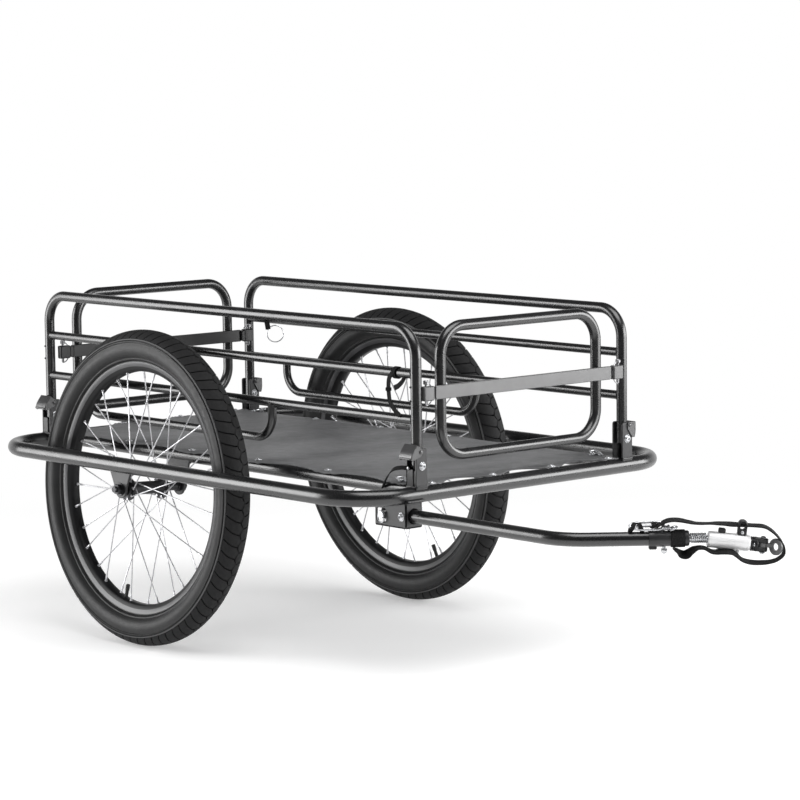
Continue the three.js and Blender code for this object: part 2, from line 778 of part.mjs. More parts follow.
function makeWheel(side) {
  const wheel = new THREE.Group();
  wheel.position.set(0, sides[side] * wheelHalfTrack, wheelHeight);
  wheel.rotation.x = sides[side] * camber;
  trailer.add(wheel);
  makeTyre(side, wheel);
  makeHub(side, wheel);
}

// A place on the tow arm's level end run, a given distance on from its bend's corner.
function armPlace(distance) {
  const x = towBendX + distance * Math.cos(towBend);
  return [x, distance * Math.sin(towBend) - towSide, towHeight];
}

function makeTowArm() {
  const boxFront = loopFront + towBoxAhead;
  const boxRear = boxFront - towBoxLength;
  const y = -towSide;
  const halfWidth = towBoxWidth / 2;
  const heights = [towBoxTop - towBoxHeight, towBoxTop];
  const outer = block([boxRear, boxFront], [y - halfWidth, y + halfWidth], heights);
  const tubeStart = boxFront - towTubeInside;
  const corners = [[tubeStart, y, towHeight], armPlace(0), armPlace(towTubeEnd)];
  const socket = bore([tubeStart - gap, y, towHeight], [boxFront + overrun, y, towHeight], towTube / 2);
  const boltPlace = (outward) => [boxFront - towBoltInset, y - outward, towHeight];
  const pinPlace = (outward) => [boxFront - lockPinInset, y - outward, towHeight];
  const reach = halfWidth + overrun;
  const boltHole = bore(boltPlace(-reach), boltPlace(reach), towBoltRadius, boltClearance);
  const pinHole = bore(pinPlace(-reach), pinPlace(reach), lockPinRadius, boltClearance);
  add("tow_bracket", "blackPlate", cut(outer, socket, loopBore(), boltHole, pinHole));
  const bolt = doubleHeaded(boltPlace(0), [0, -1, 0], halfWidth + gap, towBoltRadius);
  add("tow_bolt", "steel", bolt);
  const headStart = halfWidth + gap;
  const pin = rod(pinPlace(-reach), pinPlace(headStart + lockPinHeadLength), lockPinRadius);
  const head = rod(pinPlace(headStart), pinPlace(headStart + lockPinHeadLength), lockPinHeadRadius);
  add("tow_lock_pin", "steel", join(pin, head));
  add("tow_tube", "blackTube", cut(bentTube(corners, towTube, towBendRadius), boltHole, pinHole));
  const sleeveEnd = armPlace(sleeveStart + sleeveLength);
  const sleeve = rod(armPlace(sleeveStart), sleeveEnd, sleeveRadius, boreSides);
  const sleeveBore = bore(armPlace(sleeveStart - overrun), armPlace(towTubeEnd + gap), towTube / 2);
  add("coupler_sleeve", "blackPlate", cut(sleeve, sleeveBore));
}

// The coil between the sleeve and the barrel, along X about the flex point.
function makeSpring(armEnd) {
  const meanRadius = springRadius - springWire / 2;
  const half = springSpace / 2 - springEndSpace - springWire / 2;
  const steps = springTurns * springSteps;
  const places = Array.from({ length: steps + 1 }, (_, i) => {
    const turned = (i / springSteps) * 2 * Math.PI;
    const x = half * ((2 * i) / steps - 1);
    const point = new THREE.Vector3(x, meanRadius * Math.sin(turned), -meanRadius * Math.cos(turned));
    const advance = (2 * half) / (springTurns * 2 * Math.PI);
    const round = new THREE.Vector3(0, Math.cos(turned), Math.sin(turned));
    const direction = round.multiplyScalar(meanRadius).setX(advance);
    return { point, direction: direction.normalize() };
  });
  const coil = sweep(tubeSection(springWire / 2, springSides), places);
  add("coupler_spring", "steel", coil, armEnd);
}

function makeCoupler() {
  const armEnd = new THREE.Group();
  const flexPlace = armPlace(sleeveStart + sleeveLength + springSpace / 2);
  armEnd.position.set(...flexPlace);
  armEnd.rotation.z = towBend;
  trailer.add(armEnd);
  makeSpring(armEnd);
  const coupler = new THREE.Group();
  const droop = THREE.MathUtils.degToRad(couplerDroop);
  coupler.rotation.y = droop;
  armEnd.add(coupler);
  const start = springSpace / 2 + (springRadius - springWire / 2) * Math.sin(droop);
  const barrelEnd = start + barrelLength;
  const barrel = rod([start, 0, 0], [barrelEnd, 0, 0], barrelRadius, boreSides);
  add("coupler_barrel", "aluminium", barrel, coupler);
  const knuckleStart = barrelEnd + gap;
  const knuckleEnd = knuckleStart + knuckleLength;
  const pivot = knuckleEnd + forkLength;
  const ear = (toward) => {
    const z = [toward * (forkOpening / 2), toward * (forkOpening / 2 + forkEarThickness)];
    const plate = block([knuckleEnd - overrun, pivot], [-forkHalfWidth, forkHalfWidth], z);
    return join(plate, rod([pivot, 0, z[0]], [pivot, 0, z[1]], forkHalfWidth, boreSides));
  };
  const earTop = forkOpening / 2 + forkEarThickness;
  const pin = rod([pivot, 0, -earTop], [pivot, 0, earTop], hitchPinRadius);
  const body = rod([knuckleStart, 0, 0], [knuckleEnd, 0, 0], knuckleRadius, boreSides);
  add("coupler_knuckle", "blackPlate", join(body, ear(1), ear(-1), pin), coupler);
  makeHitchPlate(coupler, pivot);
}

function makeHitchPlate(coupler, pivot) {
  const half = forkOpening / 2 - gap;
  const plateX = pivot + hitchPlateReach;
  const face = hitchPlateThickness / 2;
  const disc = rod([0, -face, 0], [0, face, 0], hitchPlateRadius, boreSides);
  const hole = bore([0, -face - overrun, 0], [0, face + overrun, 0], hitchHoleRadius, 0);
  for (const turned of [disc, hole]) {
    turned.translate(hitchPlateOffset, 0, 0).rotateZ(-towBend).translate(plateX, 0, 0);
  }
  const eye = rod([pivot, 0, -half], [pivot, 0, half], hitchEyeRadius, boreSides);
  const arm = block([pivot, plateX], [-hitchArmHalfWidth, hitchArmHalfWidth], [-half, half]);
  const pinEnds = [half + overrun, -half - overrun].map((z) => [pivot, 0, z]);
  const pinHole = bore(...pinEnds, hitchPinRadius, boltClearance);
  add("hitch_plate", "greyPaint", cut(join(disc, eye, arm), hole, pinHole), coupler);
}

// A band run through places of distance along the arm and height, as a flat strip.
function strapRun(points) {
  const curve = new THREE.CatmullRomCurve3(points.map(([along, z]) => new THREE.Vector3(along, 0, z)));
  const places = curve.getSpacedPoints(strapSteps).map((point, i) => ({
    point,
    direction: curve.getTangentAt(i / strapSteps),
  }));
  const half = [strapWidth / 2, strapThickness / 2];
  const outline = [
    [-half[0], -half[1]],
    [half[0], -half[1]],
    [half[0], half[1]],
    [-half[0], half[1]],
  ];
  return sweep(new THREE.Shape(outline.map(([a, b]) => new THREE.Vector2(a, b))), places);
}

function makeStrap() {
  const wrapInner = sleeveRadius + gap;
  const wrapOuter = wrapInner + strapThickness;
  const wrapEnd = strapLoopStart + strapWidth;
  const wrap = cut(
    rod([strapLoopStart, 0, 0], [wrapEnd, 0, 0], wrapOuter, boreSides),
    bore([strapLoopStart - overrun, 0, 0], [wrapEnd + overrun, 0, 0], sleeveRadius),
  );
  const middle = (strapLoopStart + strapEnd) / 2;
  const riser = wrapOuter - strapThickness / 2;
  const top = strapRun([
    [strapLoopStart + strapThickness, riser],
    [wrapEnd + strapWidth, strapTopRise],
    [middle, strapTopRise],
    [strapEnd - strapWidth, strapTopRise - strapTopSlope],
    [strapEnd, strapTopRise - strapWidth],
  ]);
  const low = strapRun([
    [strapLoopStart + strapThickness, -riser],
    [wrapEnd + strapWidth, -strapLowDrop],
    [middle, -strapLowDrop - strapThickness],
    [strapEnd - strapWidth, -strapLowDrop - strapLowSag],
    [strapEnd, -strapLowDrop - strapLowSag],
  ]);
  const strap = join(wrap, top, low);
  const holder = new THREE.Group();
  holder.position.set(...armPlace(0));
  holder.rotation.z = towBend;
  trailer.add(holder);
  add("safety_strap", "webbing", strap, holder);
}

makeFrame();
makeDeck();
for (const end in ends) {
  for (const side in sides) {
    makeBracket(end, side);
    makeFlap(end, side);
    makeClamp(end, side);
  }
  makeGate(end);
}
for (const side in sides) {
  makeSide(side);
  makeHangers(side);
  makeAxle(side);
  makeWheel(side);
}
makeTowArm();
makeCoupler();
makeStrap();

// The part's own frame has its origin under the middle of its box, on the ground.
const bounds = new THREE.Box3().setFromObject(trailer, true);
const middle = bounds.getCenter(new THREE.Vector3());
trailer.position.set(-middle.x, -middle.y, -bounds.min.z);
trailer.updateMatrixWorld(true);

export default trailer;
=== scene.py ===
import math

import bmesh
import bpy
import numpy as np
from mathutils import Matrix, Vector
from mathutils.geometry import tessellate_polygon


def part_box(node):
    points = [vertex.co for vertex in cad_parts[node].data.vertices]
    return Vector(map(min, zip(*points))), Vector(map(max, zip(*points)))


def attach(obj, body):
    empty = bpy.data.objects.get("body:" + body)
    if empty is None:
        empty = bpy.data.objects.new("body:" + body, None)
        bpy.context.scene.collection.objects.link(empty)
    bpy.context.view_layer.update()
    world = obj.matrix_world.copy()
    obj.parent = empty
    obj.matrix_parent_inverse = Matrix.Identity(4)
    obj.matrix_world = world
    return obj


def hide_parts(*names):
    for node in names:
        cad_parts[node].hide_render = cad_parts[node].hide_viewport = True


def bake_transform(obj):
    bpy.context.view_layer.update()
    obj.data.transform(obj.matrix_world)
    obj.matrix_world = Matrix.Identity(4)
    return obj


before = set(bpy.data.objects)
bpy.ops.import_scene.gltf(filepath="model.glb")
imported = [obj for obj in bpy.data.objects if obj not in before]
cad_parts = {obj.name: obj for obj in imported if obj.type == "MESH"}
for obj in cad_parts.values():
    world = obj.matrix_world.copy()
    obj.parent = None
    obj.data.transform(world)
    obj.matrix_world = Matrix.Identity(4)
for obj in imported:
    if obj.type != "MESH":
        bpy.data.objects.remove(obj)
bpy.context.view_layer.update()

# The studio: a long lens from the trailer's front right, a little above it, over a white floor.
# A tall soft lamp stands to the left of the view, a wide one to its right and a third overhead.
# In reflections the room is dim, apart from a white wall behind the trailer.
scene = bpy.context.scene
scene.view_settings.view_transform = "Standard"
lens_place = Vector((3.66492, -3.31625, 0.98447))
lens_azimuth, lens_elevation, lens_roll = (math.radians(angle) for angle in (48.42, 6.65, -0.70))
away = Vector((
    math.sin(lens_azimuth) * math.cos(lens_elevation),
    -math.cos(lens_azimuth) * math.cos(lens_elevation),
    math.sin(lens_elevation),
))
level = Vector((0, 0, 1)).cross(away).normalized()
upright = away.cross(level)
lens_right = level * math.cos(lens_roll) + upright * math.sin(lens_roll)
lens_up = upright * math.cos(lens_roll) - level * math.sin(lens_roll)
lens = bpy.data.cameras.new("lens")
lens.lens = 140.56
lens.sensor_width = 36
lens.clip_start, lens.clip_end = 0.05, 100
camera = bpy.data.objects.new("camera", lens)
lens_turn = Matrix((lens_right, lens_up, away)).transposed().to_4x4()
camera.matrix_world = Matrix.Translation(lens_place) @ lens_turn
scene.collection.objects.link(camera)
scene.camera = camera


class Wire:
    """A value on its way through a shader, so that maths on it reads as an expression."""

    def __init__(self, shader, socket):
        self.shader = shader
        self.socket = socket

    def maths(self, operation, *values):
        return self.shader.node("Math", {"operation": operation}, dict(enumerate(values)))

    def __add__(self, other):
        return self.maths("ADD", self, other)

    def __radd__(self, other):
        return self.maths("ADD", other, self)

    def __sub__(self, other):
        return self.maths("SUBTRACT", self, other)

    def __rsub__(self, other):
        return self.maths("SUBTRACT", other, self)

    def __mul__(self, other):
        return self.maths("MULTIPLY", self, other)

    def __rmul__(self, other):
        return self.maths("MULTIPLY", other, self)

    def __gt__(self, other):
        return self.maths("GREATER_THAN", self, other)

    def __lt__(self, other):
        return self.maths("LESS_THAN", self, other)

    def __pow__(self, other):
        return self.maths("POWER", self, other)

    def sine(self):
        return self.maths("SINE", self)

    def size(self):
        return self.maths("ABSOLUTE", self)


class Shader:
    """A node tree that is filled by calls."""

    def __init__(self, tree):
        self.tree = tree
        tree.nodes.clear()

    def node(self, kind, settings, values, output=0):
        """Adds one node: its type, its settings, and the numbers or wires of its sockets."""
        made = self.tree.nodes.new("ShaderNode" + kind)
        for name, value in settings.items():
            setattr(made, name, value)
        for key, value in values.items():
            if isinstance(value, Wire):
                self.tree.links.new(value.socket, made.inputs[key])
            else:
                made.inputs[key].default_value = value
        return Wire(self, made.outputs[output]) if made.outputs else made

    def mix(self, mask, first, second):
        return self.node("Mix", {"data_type": "RGBA"}, {0: mask, 6: first, 7: second}, 2)

    def along(self, place, direction):
        """How far a place lies along a direction."""
        values = {0: place, 1: tuple(direction)}
        return self.node("VectorMath", {"operation": "DOT_PRODUCT"}, values, "Value")

    def ramp(self, value, low, high):
        """Rises smoothly from 0 to 1 while a value goes from low to high."""
        values = {"Value": value, "From Min": low, "From Max": high}
        return self.node("MapRange", {"interpolation_type": "SMOOTHSTEP"}, values)


def seen_directly(shader):
    """1 for the rays that show the background: from the lens, in gloss or through glass."""
    rays = [shader.node("LightPath", {}, {}, name) for name in ("Is Camera Ray", "Is Glossy Ray")]
    return (rays[0] + rays[1] + shader.node("LightPath", {}, {}, "Is Transmission Ray")) > 0.5


def grey(level, blue=None):
    """A neutral colour, or one with its own level of blue."""
    return (level, level, level if blue is None else blue, 1)


white = grey(1)
sky_light, room_gloss = 0.45, 0.09
sky = bpy.data.worlds.new("studio")
sky.use_nodes = True
scene.world = sky
sky_shader = Shader(sky.node_tree)
soft = sky_shader.node("Background", {}, {"Color": white, "Strength": sky_light})
look = sky_shader.node("TexCoord", {}, {}, "Generated")
height = sky_shader.node("SeparateXYZ", {}, {0: look}, "Z")
backdrop = sky_shader.ramp(sky_shader.along(look, (-away.x, -away.y, 0)), 0.2, 0.8)
ceiling = sky_shader.ramp(height, 0.2, 0.5)
in_view = sky_shader.node("LightPath", {}, {}, "Is Camera Ray")
gloss_level = room_gloss + (1 - room_gloss) * (backdrop * (1 - ceiling))
shown_level = in_view.maths("MAXIMUM", in_view, gloss_level)
shown = sky_shader.node("Background", {}, {"Color": white, "Strength": shown_level})
sky_mix = sky_shader.node("MixShader", {}, {0: seen_directly(sky_shader), 1: soft, 2: shown})
sky_shader.node("OutputWorld", {}, {"Surface": sky_mix})

floor_radius, floor_fade_start, floor_fade_end = 2.1, 1.25, 2.0
floor_white, floor_lift = grey(0.8), 0.3
floor_mesh = bpy.data.meshes.new("floor")
rim_angles = [2 * math.pi * i / 96 for i in range(96)]
floor_corners = [(floor_radius * math.cos(a), floor_radius * math.sin(a), 0) for a in rim_angles]
floor_mesh.from_pydata(floor_corners, [], [tuple(range(len(floor_corners)))])
floor = bpy.data.objects.new("floor", floor_mesh)
scene.collection.objects.link(floor)
floor_material = bpy.data.materials.new("floor")
floor_material.use_nodes = True
floor_mesh.materials.append(floor_material)
floor_shader = Shader(floor_material.node_tree)
floor_place = floor_shader.node("TexCoord", {}, {}, "Object")
from_middle = floor_shader.node("VectorMath", {"operation": "LENGTH"}, {0: floor_place}, "Value")
fade = floor_shader.ramp(from_middle, floor_fade_start, floor_fade_end)
matt = floor_shader.node("BsdfDiffuse", {}, {"Color": floor_white})
glow = floor_lift * seen_directly(floor_shader)
lift = floor_shader.node("Emission", {}, {"Color": white, "Strength": glow})
lit_floor = floor_shader.node("AddShader", {}, {0: matt, 1: lift})
far_floor = floor_shader.node("Emission", {}, {"Color": white, "Strength": 1.0})
far_only = fade * seen_directly(floor_shader)
floor_mix = floor_shader.node("MixShader", {}, {0: far_only, 1: lit_floor, 2: far_floor})
floor_shader.node("OutputMaterial", {}, {"Surface": floor_mix})


def softbox(name, toward, distance, width, height, watts, aim=(0, 0, 0.28)):
    """A soft lamp that stands toward a direction from the trailer and faces it."""
    lamp = bpy.data.lights.new(name, "AREA")
    lamp.shape = "RECTANGLE"
    lamp.size, lamp.size_y, lamp.energy = width, height, watts
    stand = bpy.data.objects.new(name, lamp)
    direction = Vector(toward).normalized()
    stand.location = Vector(aim) + direction * distance
    stand.rotation_mode = "QUATERNION"
    stand.rotation_quaternion = (-direction).to_track_quat("-Z", "Y")
    stand.visible_camera = False
    scene.collection.objects.link(stand)


softbox("lamp_left", (-0.72, -0.69, 0.02), 3.0, 1.5, 2.7, 88)
softbox("lamp_right", (0.76, 0.65, 0.21), 2.5, 2.4, 1.15, 66)
softbox("lamp_top", (0.15, -0.1, 1), 1.9, 1.8, 1.4, 34, aim=(0.55, 0, 0.28))

# Frame: one round steel tube bent into a loop outside the wheels, and two thinner rails
# under the deck's edges. The rails are welded to the loop, and all is powder coated.
mm = 0.001
axle_x = sum(corner.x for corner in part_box("tyre_left")) / 2
ends = {"front": 1, "rear": -1}
sides = {"right": -1, "left": 1}
x_axis, y_axis, z_axis = np.eye(3)


def unit(vector):
    vector = np.array(vector, float)
    return vector / np.linalg.norm(vector)


def full_turn(count):
    """Angles that are evenly spread round a circle."""
    return np.linspace(0, 2 * math.pi, count, endpoint=False)


class Form:
    """Corners and faces in millimetres: X ahead of the axle, Y left of the middle, Z up."""

    def __init__(self, corners=(), faces=()):
        self.corners = np.array(corners, float).reshape(-1, 3)
        self.faces = [tuple(face) for face in faces]

    def __add__(self, other):
        start = len(self.corners)
        moved = [tuple(i + start for i in face) for face in other.faces]
        return Form(np.vstack([self.corners, other.corners]), self.faces + moved)

    def placed(self, matrix):
        matrix = np.array(matrix, float)
        return Form(self.corners @ matrix[:3, :3].T + matrix[:3, 3], self.faces)


def joined(forms):
    total = Form()
    for form in forms:
        total = total + form
    return total


def piece(name, form, finish, body, slot, *nodes, crease=35):
    """Makes one visible piece from a form, in metres in the row frame, riding on a body."""
    mesh = bpy.data.meshes.new(name)
    mesh.from_pydata((form.corners * mm + (axle_x, 0, 0)).tolist(), [], form.faces)
    skin = bmesh.new()
    skin.from_mesh(mesh)
    bmesh.ops.recalc_face_normals(skin, faces=skin.faces)
    skin.to_mesh(mesh)
    skin.free()
    mesh.shade_smooth()
    mesh.set_sharp_from_angle(angle=math.radians(crease))
    mesh.materials.append(finish.material)
    made = bpy.data.objects.new(name, mesh)
    scene.collection.objects.link(made)
    if body:
        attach(made, body)
    if nodes:
        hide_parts(*nodes)
    return made


def bent(corners, radius, closed=False, steps=16):
    """The line of a bent tube: straight runs between corners, with an arc at each bend."""
    corners = [np.array(corner, float) for corner in corners]
    count = len(corners)
    bends = range(count) if closed else range(1, count - 1)
    line = [] if closed else [corners[0]]
    for i in bends:
        into = unit(corners[i] - corners[i - 1])
        out = unit(corners[(i + 1) % count] - corners[i])
        turn = math.acos(np.clip(into @ out, -1, 1))
        inward = unit(out - into * (into @ out))
        start = corners[i] - into * radius * math.tan(turn / 2)
        for angle in np.linspace(0, turn, steps + 1):
            line.append(start + into * radius * math.sin(angle) + inward * radius * (1 - math.cos(angle)))
    return line if closed else line + [corners[-1]]


def ring_faces(rings, sides_round, closed_along, closed_round=True):
    """Quads between rows of corners, with the rows' ends and the two end rows joined or capped."""
    faces = []
    across = sides_round if closed_round else sides_round - 1
    for i in range(rings if closed_along else rings - 1):
        here, there = i * sides_round, ((i + 1) % rings) * sides_round
        for j in range(across):
            k = (j + 1) % sides_round
            faces.append((here + j, here + k, there + k, there + j))
    if not closed_along and closed_round:
        faces.append(tuple(reversed(range(sides_round))))
        faces.append(tuple(range((rings - 1) * sides_round, rings * sides_round)))
    return faces


def tube(line, radius, sides_round=28, closed=False, flatness=1.0, wide=None):
    """A round or oval bar along a line. Radius is one number, or one for each place."""
    line = np.array(line, float)
    before, after = np.roll(line, 1, 0), np.roll(line, -1, 0)
    if not closed:
        before[0], after[-1] = line[0], line[-1]
    directions = np.array([unit(b - a) for a, b in zip(before, after)])
    side = np.array(wide, float) if wide is not None else y_axis
    if abs(side @ directions[0]) > 0.9:
        side = z_axis
    radii = np.broadcast_to(np.array(radius, float), len(line))
    angles = full_turn(sides_round)
    corners = []
    for place, direction, size in zip(line, directions, radii):
        side = unit(side - direction * (side @ direction))
        over = np.cross(direction, side)
        corners += [place + size * (side * math.cos(a) + over * flatness * math.sin(a)) for a in angles]
    return Form(corners, ring_faces(len(line), sides_round, closed))


def turned(profile, start, along, sides_round=32, closed=False, twist=0.0):
    """A shape turned about a line, from pairs of distance along it and radius."""
    start, along = np.array(start, float), unit(along)
    side = unit(np.cross(along, z_axis if abs(along @ z_axis) < 0.9 else x_axis))
    over = np.cross(along, side)
    angles = full_turn(sides_round) + twist
    corners = [
        start + along * distance + radius * (side * math.cos(a) + over * math.sin(a))
        for distance, radius in profile
        for a in angles
    ]
    return Form(corners, ring_faces(len(profile), sides_round, closed))


def weld(start, along, radius, carrier, carrier_along, carrier_radius, bead=1.6, ripples=26):
    """A rippled bead round the end of a tube where it meets another tube."""
    start, along = np.array(start, float), unit(along)
    carrier, carrier_along = np.array(carrier, float), unit(carrier_along)
    side = unit(np.cross(along, z_axis if abs(along @ z_axis) < 0.9 else x_axis))
    over = np.cross(along, side)

    def flat(vector):
        return vector - carrier_along * (vector @ carrier_along)

    line, sizes = [], []
    for a in full_turn(ripples * 4):
        place = start + radius * (side * math.cos(a) + over * math.sin(a))
        gap, step = flat(place - carrier), flat(along)
        half_b, c = gap @ step, gap @ gap - carrier_radius ** 2
        root = max(half_b ** 2 - (step @ step) * c, 0)
        line.append(place + along * ((-half_b - math.sqrt(root)) / (step @ step)))
        sizes.append(bead * (1 + 0.13 * math.sin(ripples * a)))
    return tube(line, sizes, 8, closed=True)


class Finish(Shader):
    """A material with one Principled surface and the trailer's own places as coordinates."""

    def __init__(self, name):
        self.material = bpy.data.materials.new(name)
        self.material.use_nodes = True
        super().__init__(self.material.node_tree)
        self.place = self.node("TexCoord", {}, {}, "Object")

    def noise(self, scale, detail=2.0, roughness=0.5, stretch=(1, 1, 1)):
        """Noise from 0 to 1 with a scale in features per metre."""
        place = self.node("VectorMath", {"operation": "MULTIPLY"}, {0: self.place, 1: stretch})
        values = {"Vector": place, "Scale": scale, "Detail": detail, "Roughness": roughness}
        return self.node("TexNoise", {}, values, "Fac")

    def band(self, value, low, high):
        """Spreads the part of a value between low and high over 0 to 1."""
        return self.node("MapRange", {}, {"Value": value, "From Min": low, "From Max": high})

    def surface(self, values, relief=None, depth=0.0001):
        """Ends the material in its surface, with a relief of a depth in metres."""
        if relief is not None:
            values["Normal"] = self.node("Bump", {}, {"Strength": 1.0, "Distance": depth, "Height": relief})
        skin = self.node("BsdfPrincipled", {}, values)
        self.node("OutputMaterial", {}, {"Surface": skin})


def powder_coat(name, colour, gloss, peel=0.000004, shine=0.9):
    """Baked powder coat: nearly even colour, a faint orange peel and a few dull patches."""
    coat = Finish(name)
    patches = coat.noise(22, 4, 0.6)
    shade = tuple(value * 1.5 for value in colour[:3]) + (1,)
    coat.surface({
        "Base Color": coat.mix(coat.band(patches, 0.35, 0.7), colour, shade),
        "Roughness": gloss + 0.08 * coat.band(patches, 0.3, 0.75),
        "Specular IOR Level": shine,
    }, coat.noise(160, 1, 0.5), peel)
    return coat


tube_black = powder_coat("tube_black", grey(0.004, 0.0045), 0.24, 0.000002)
plate_black = powder_coat("plate_black", grey(0.013, 0.014), 0.34, 0.000015, 0.5)


def tubing(name, form, body, *nodes):
    """A visible piece of black coated tube, or the welds on one."""
    return piece(name, form, tube_black, body, "tube_paint", *nodes)


loop_radius, loop_side, loop_z = 12.5, 334.6, 300.9
loop_front, loop_rear, loop_bend = 597.7, -351.7, 91
rail_radius, rail_side = 10, 205
loop_top = loop_z + loop_radius
rail_z = loop_top - rail_radius
loop_x = {"front": loop_front, "rear": loop_rear}
loop_corners = [(loop_front, -loop_side, loop_z), (loop_front, loop_side, loop_z)]
loop_corners += [(loop_rear, loop_side, loop_z), (loop_rear, -loop_side, loop_z)]
loop = tube(bent(loop_corners, loop_bend, closed=True, steps=28), loop_radius, 48, closed=True)
tubing("loop_tube", loop, "frame", "outer_loop")
for side, sign in sides.items():
    y = sign * rail_side
    rail = tube([(loop_rear, y, rail_z), (loop_front, y, rail_z)], rail_radius, 40)
    tubing(f"deck_rail_{side}", rail, "frame", f"inner_rail_{side}")
    joints = [
        ((0, y, rail_z), (outward, 0, 0), rail_radius + 0.4, (loop_x[end], 0, loop_z), y_axis, loop_radius)
        for end, outward in ends.items()
    ]
    tubing(f"deck_rail_welds_{side}", joined(weld(*joint) for joint in joints), "frame")

# Deck: one sheet of coated tarpaulin cloth drawn tight over the rails and the loop's ends.
# Its edges curve back between the self-tapping screws that pull it down, and it sags a little.
deck_half_width, deck_end_inset, deck_thickness = 216, 4, 1.3
deck_notch, deck_notch_length, notch_run = 9, 40, 12
end_screws = [-189, -63, 63, 189]
side_screws = [-315, -143, 29, 201, 373, 545]
end_scallop, end_scallop_reach, side_scallop, scallop_tab = 24, 90, 9, 11.0
deck_sag, sag_run, edge_droop = 2.6, 120, 2.2
fold_count, fold_height, fold_start, fold_fade, fold_limit = 11, 1.15, 14, 45, 170
dimple_depth, dimple_radius = 0.5, 9
swell_height, swell_length, swell_wander, swell_width, swell_fade = 0.9, 41, 1.4, 95, 90
deck_z = loop_top + 1.2
deck_low = np.array([loop_rear - deck_end_inset, -deck_half_width])
deck_high = np.array([loop_front + deck_end_inset, deck_half_width])


def scallop(place, screws, depth):
    """How far the sheet's edge has drawn back at a place between two screws."""
    after = np.searchsorted(screws, place)
    if after == 0 or after == len(screws):
        return 0.0
    span = (screws[after] - screws[after - 1]) / 2
    out = abs(place - (screws[after] + screws[after - 1]) / 2)
    share = np.clip((span - scallop_tab - out) / (span - scallop_tab), 0, 1)
    return depth * math.sin(share * math.pi / 2) ** 1.2


def deck_place(u, v):
    """A place on the sheet from shares of its length and half width."""
    x = deck_low[0] + u * (deck_high[0] - deck_low[0])
    y = v * deck_half_width
    to_front, to_rear = deck_high[0] - x, x - deck_low[0]
    nearest = min(to_front, to_rear)
    pull = scallop(y, end_screws, end_scallop) * max(0, 1 - nearest / end_scallop_reach) ** 2
    moved_x = x - pull if to_front < to_rear else x + pull
    notch = deck_notch * (1 - np.clip((nearest - deck_notch_length + notch_run) / notch_run, 0, 1))
    edge = deck_half_width - notch - scallop(x, side_screws, side_scallop)
    moved_y = y * (1 + (edge / deck_half_width - 1) * abs(v) ** 6)
    sag = deck_sag * (1 - (abs(y) / rail_side) ** 2) if abs(y) < rail_side else 0
    sag *= np.clip(nearest / sag_run, 0, 1)
    ripple = 0.0
    for screw_x, screw_y in deck_screws:
        reach = math.hypot(moved_x - screw_x, moved_y - screw_y)
        if reach < fold_limit:
            bearing = math.atan2(moved_y - screw_y, moved_x - screw_x)
            fold = math.sin(fold_count * bearing + screw_x) * math.exp(-reach / fold_fade)
            fold *= min(reach / fold_start, 1)
            ripple += fold_height * fold - dimple_depth * math.exp(-reach / dimple_radius)
    swell = swell_height * math.sin(moved_x / swell_length + swell_wander * math.sin(moved_y / swell_width))
    swell *= np.clip((rail_side - abs(moved_y)) / swell_fade, 0, 1)
    ripple += swell * np.clip(nearest / swell_fade, 0, 1)
    overhang = (abs(moved_y) - rail_side) / (deck_half_width - rail_side)
    return moved_x, moved_y, deck_z - sag + ripple - edge_droop * max(0, overhang) ** 2


def close_at_ends(low, high, margin, fine, coarse):
    """Shares from low to high that lie closer together within a margin of both."""
    inner = np.linspace(low + margin, high - margin, coarse)[1:-1]
    first, last = np.linspace(low, low + margin, fine), np.linspace(high - margin, high, fine)
    return np.concatenate([first, inner, last])


end_line = {"front": deck_high[0] - 6, "rear": deck_low[0] + 6}
deck_screws = [(end_line[end], y) for end in ends for y in end_screws]
deck_screws += [(x, sign * rail_side) for sign in (-1, 1) for x in side_screws]
deck_rows = close_at_ends(0, 1, 0.08, 16, 150)
deck_columns = close_at_ends(-1, 1, 0.1, 9, 88)
deck_top = np.array([deck_place(u, v) for u in deck_rows for v in deck_columns])
across, along = len(deck_columns), len(deck_rows)
deck_under = deck_top - (0, 0, deck_thickness)
sheet_faces = ring_faces(along, across, False, closed_round=False)
border = list(range(across))
border += [i * across + across - 1 for i in range(1, along)]
border += [(along - 1) * across + i for i in range(across - 2, -1, -1)]
border += [i * across for i in range(along - 2, 0, -1)]
offset = across * along
under_faces = [tuple(i + offset for i in reversed(face)) for face in sheet_faces]
edge_faces = [(a, b, b + offset, a + offset) for a, b in zip(border, border[1:] + border[:1])]
deck_form = Form(np.vstack([deck_top, deck_under]), sheet_faces + under_faces + edge_faces)

cloth = Finish("deck_cloth")
cloth_dark, cloth_light = (0.100, 0.101, 0.104, 1), (0.178, 0.179, 0.183, 1)
weave_pitch = 0.0011
split = [cloth.node("SeparateXYZ", {}, {0: cloth.place}, name) for name in "XY"]
threads = [(place * (2 * math.pi / weave_pitch)).sine() for place in split]
cloud = cloth.band(cloth.noise(7, 4, 0.6, (1, 0.5, 1)), 0.35, 0.65)
cloth.surface({
    "Base Color": cloth.mix(cloud, cloth_dark, cloth_light),
    "Roughness": 0.50 + 0.12 * cloth.band(cloth.noise(60, 3), 0.3, 0.7),
    "Specular IOR Level": 0.35,
}, threads[0] * threads[1] * 0.5 + cloth.noise(35, 3) * 1.2, 0.00016)
deck = piece("deck_cloth", deck_form, cloth, "frame", "deck_cloth", "deck_sheet", crease=50)


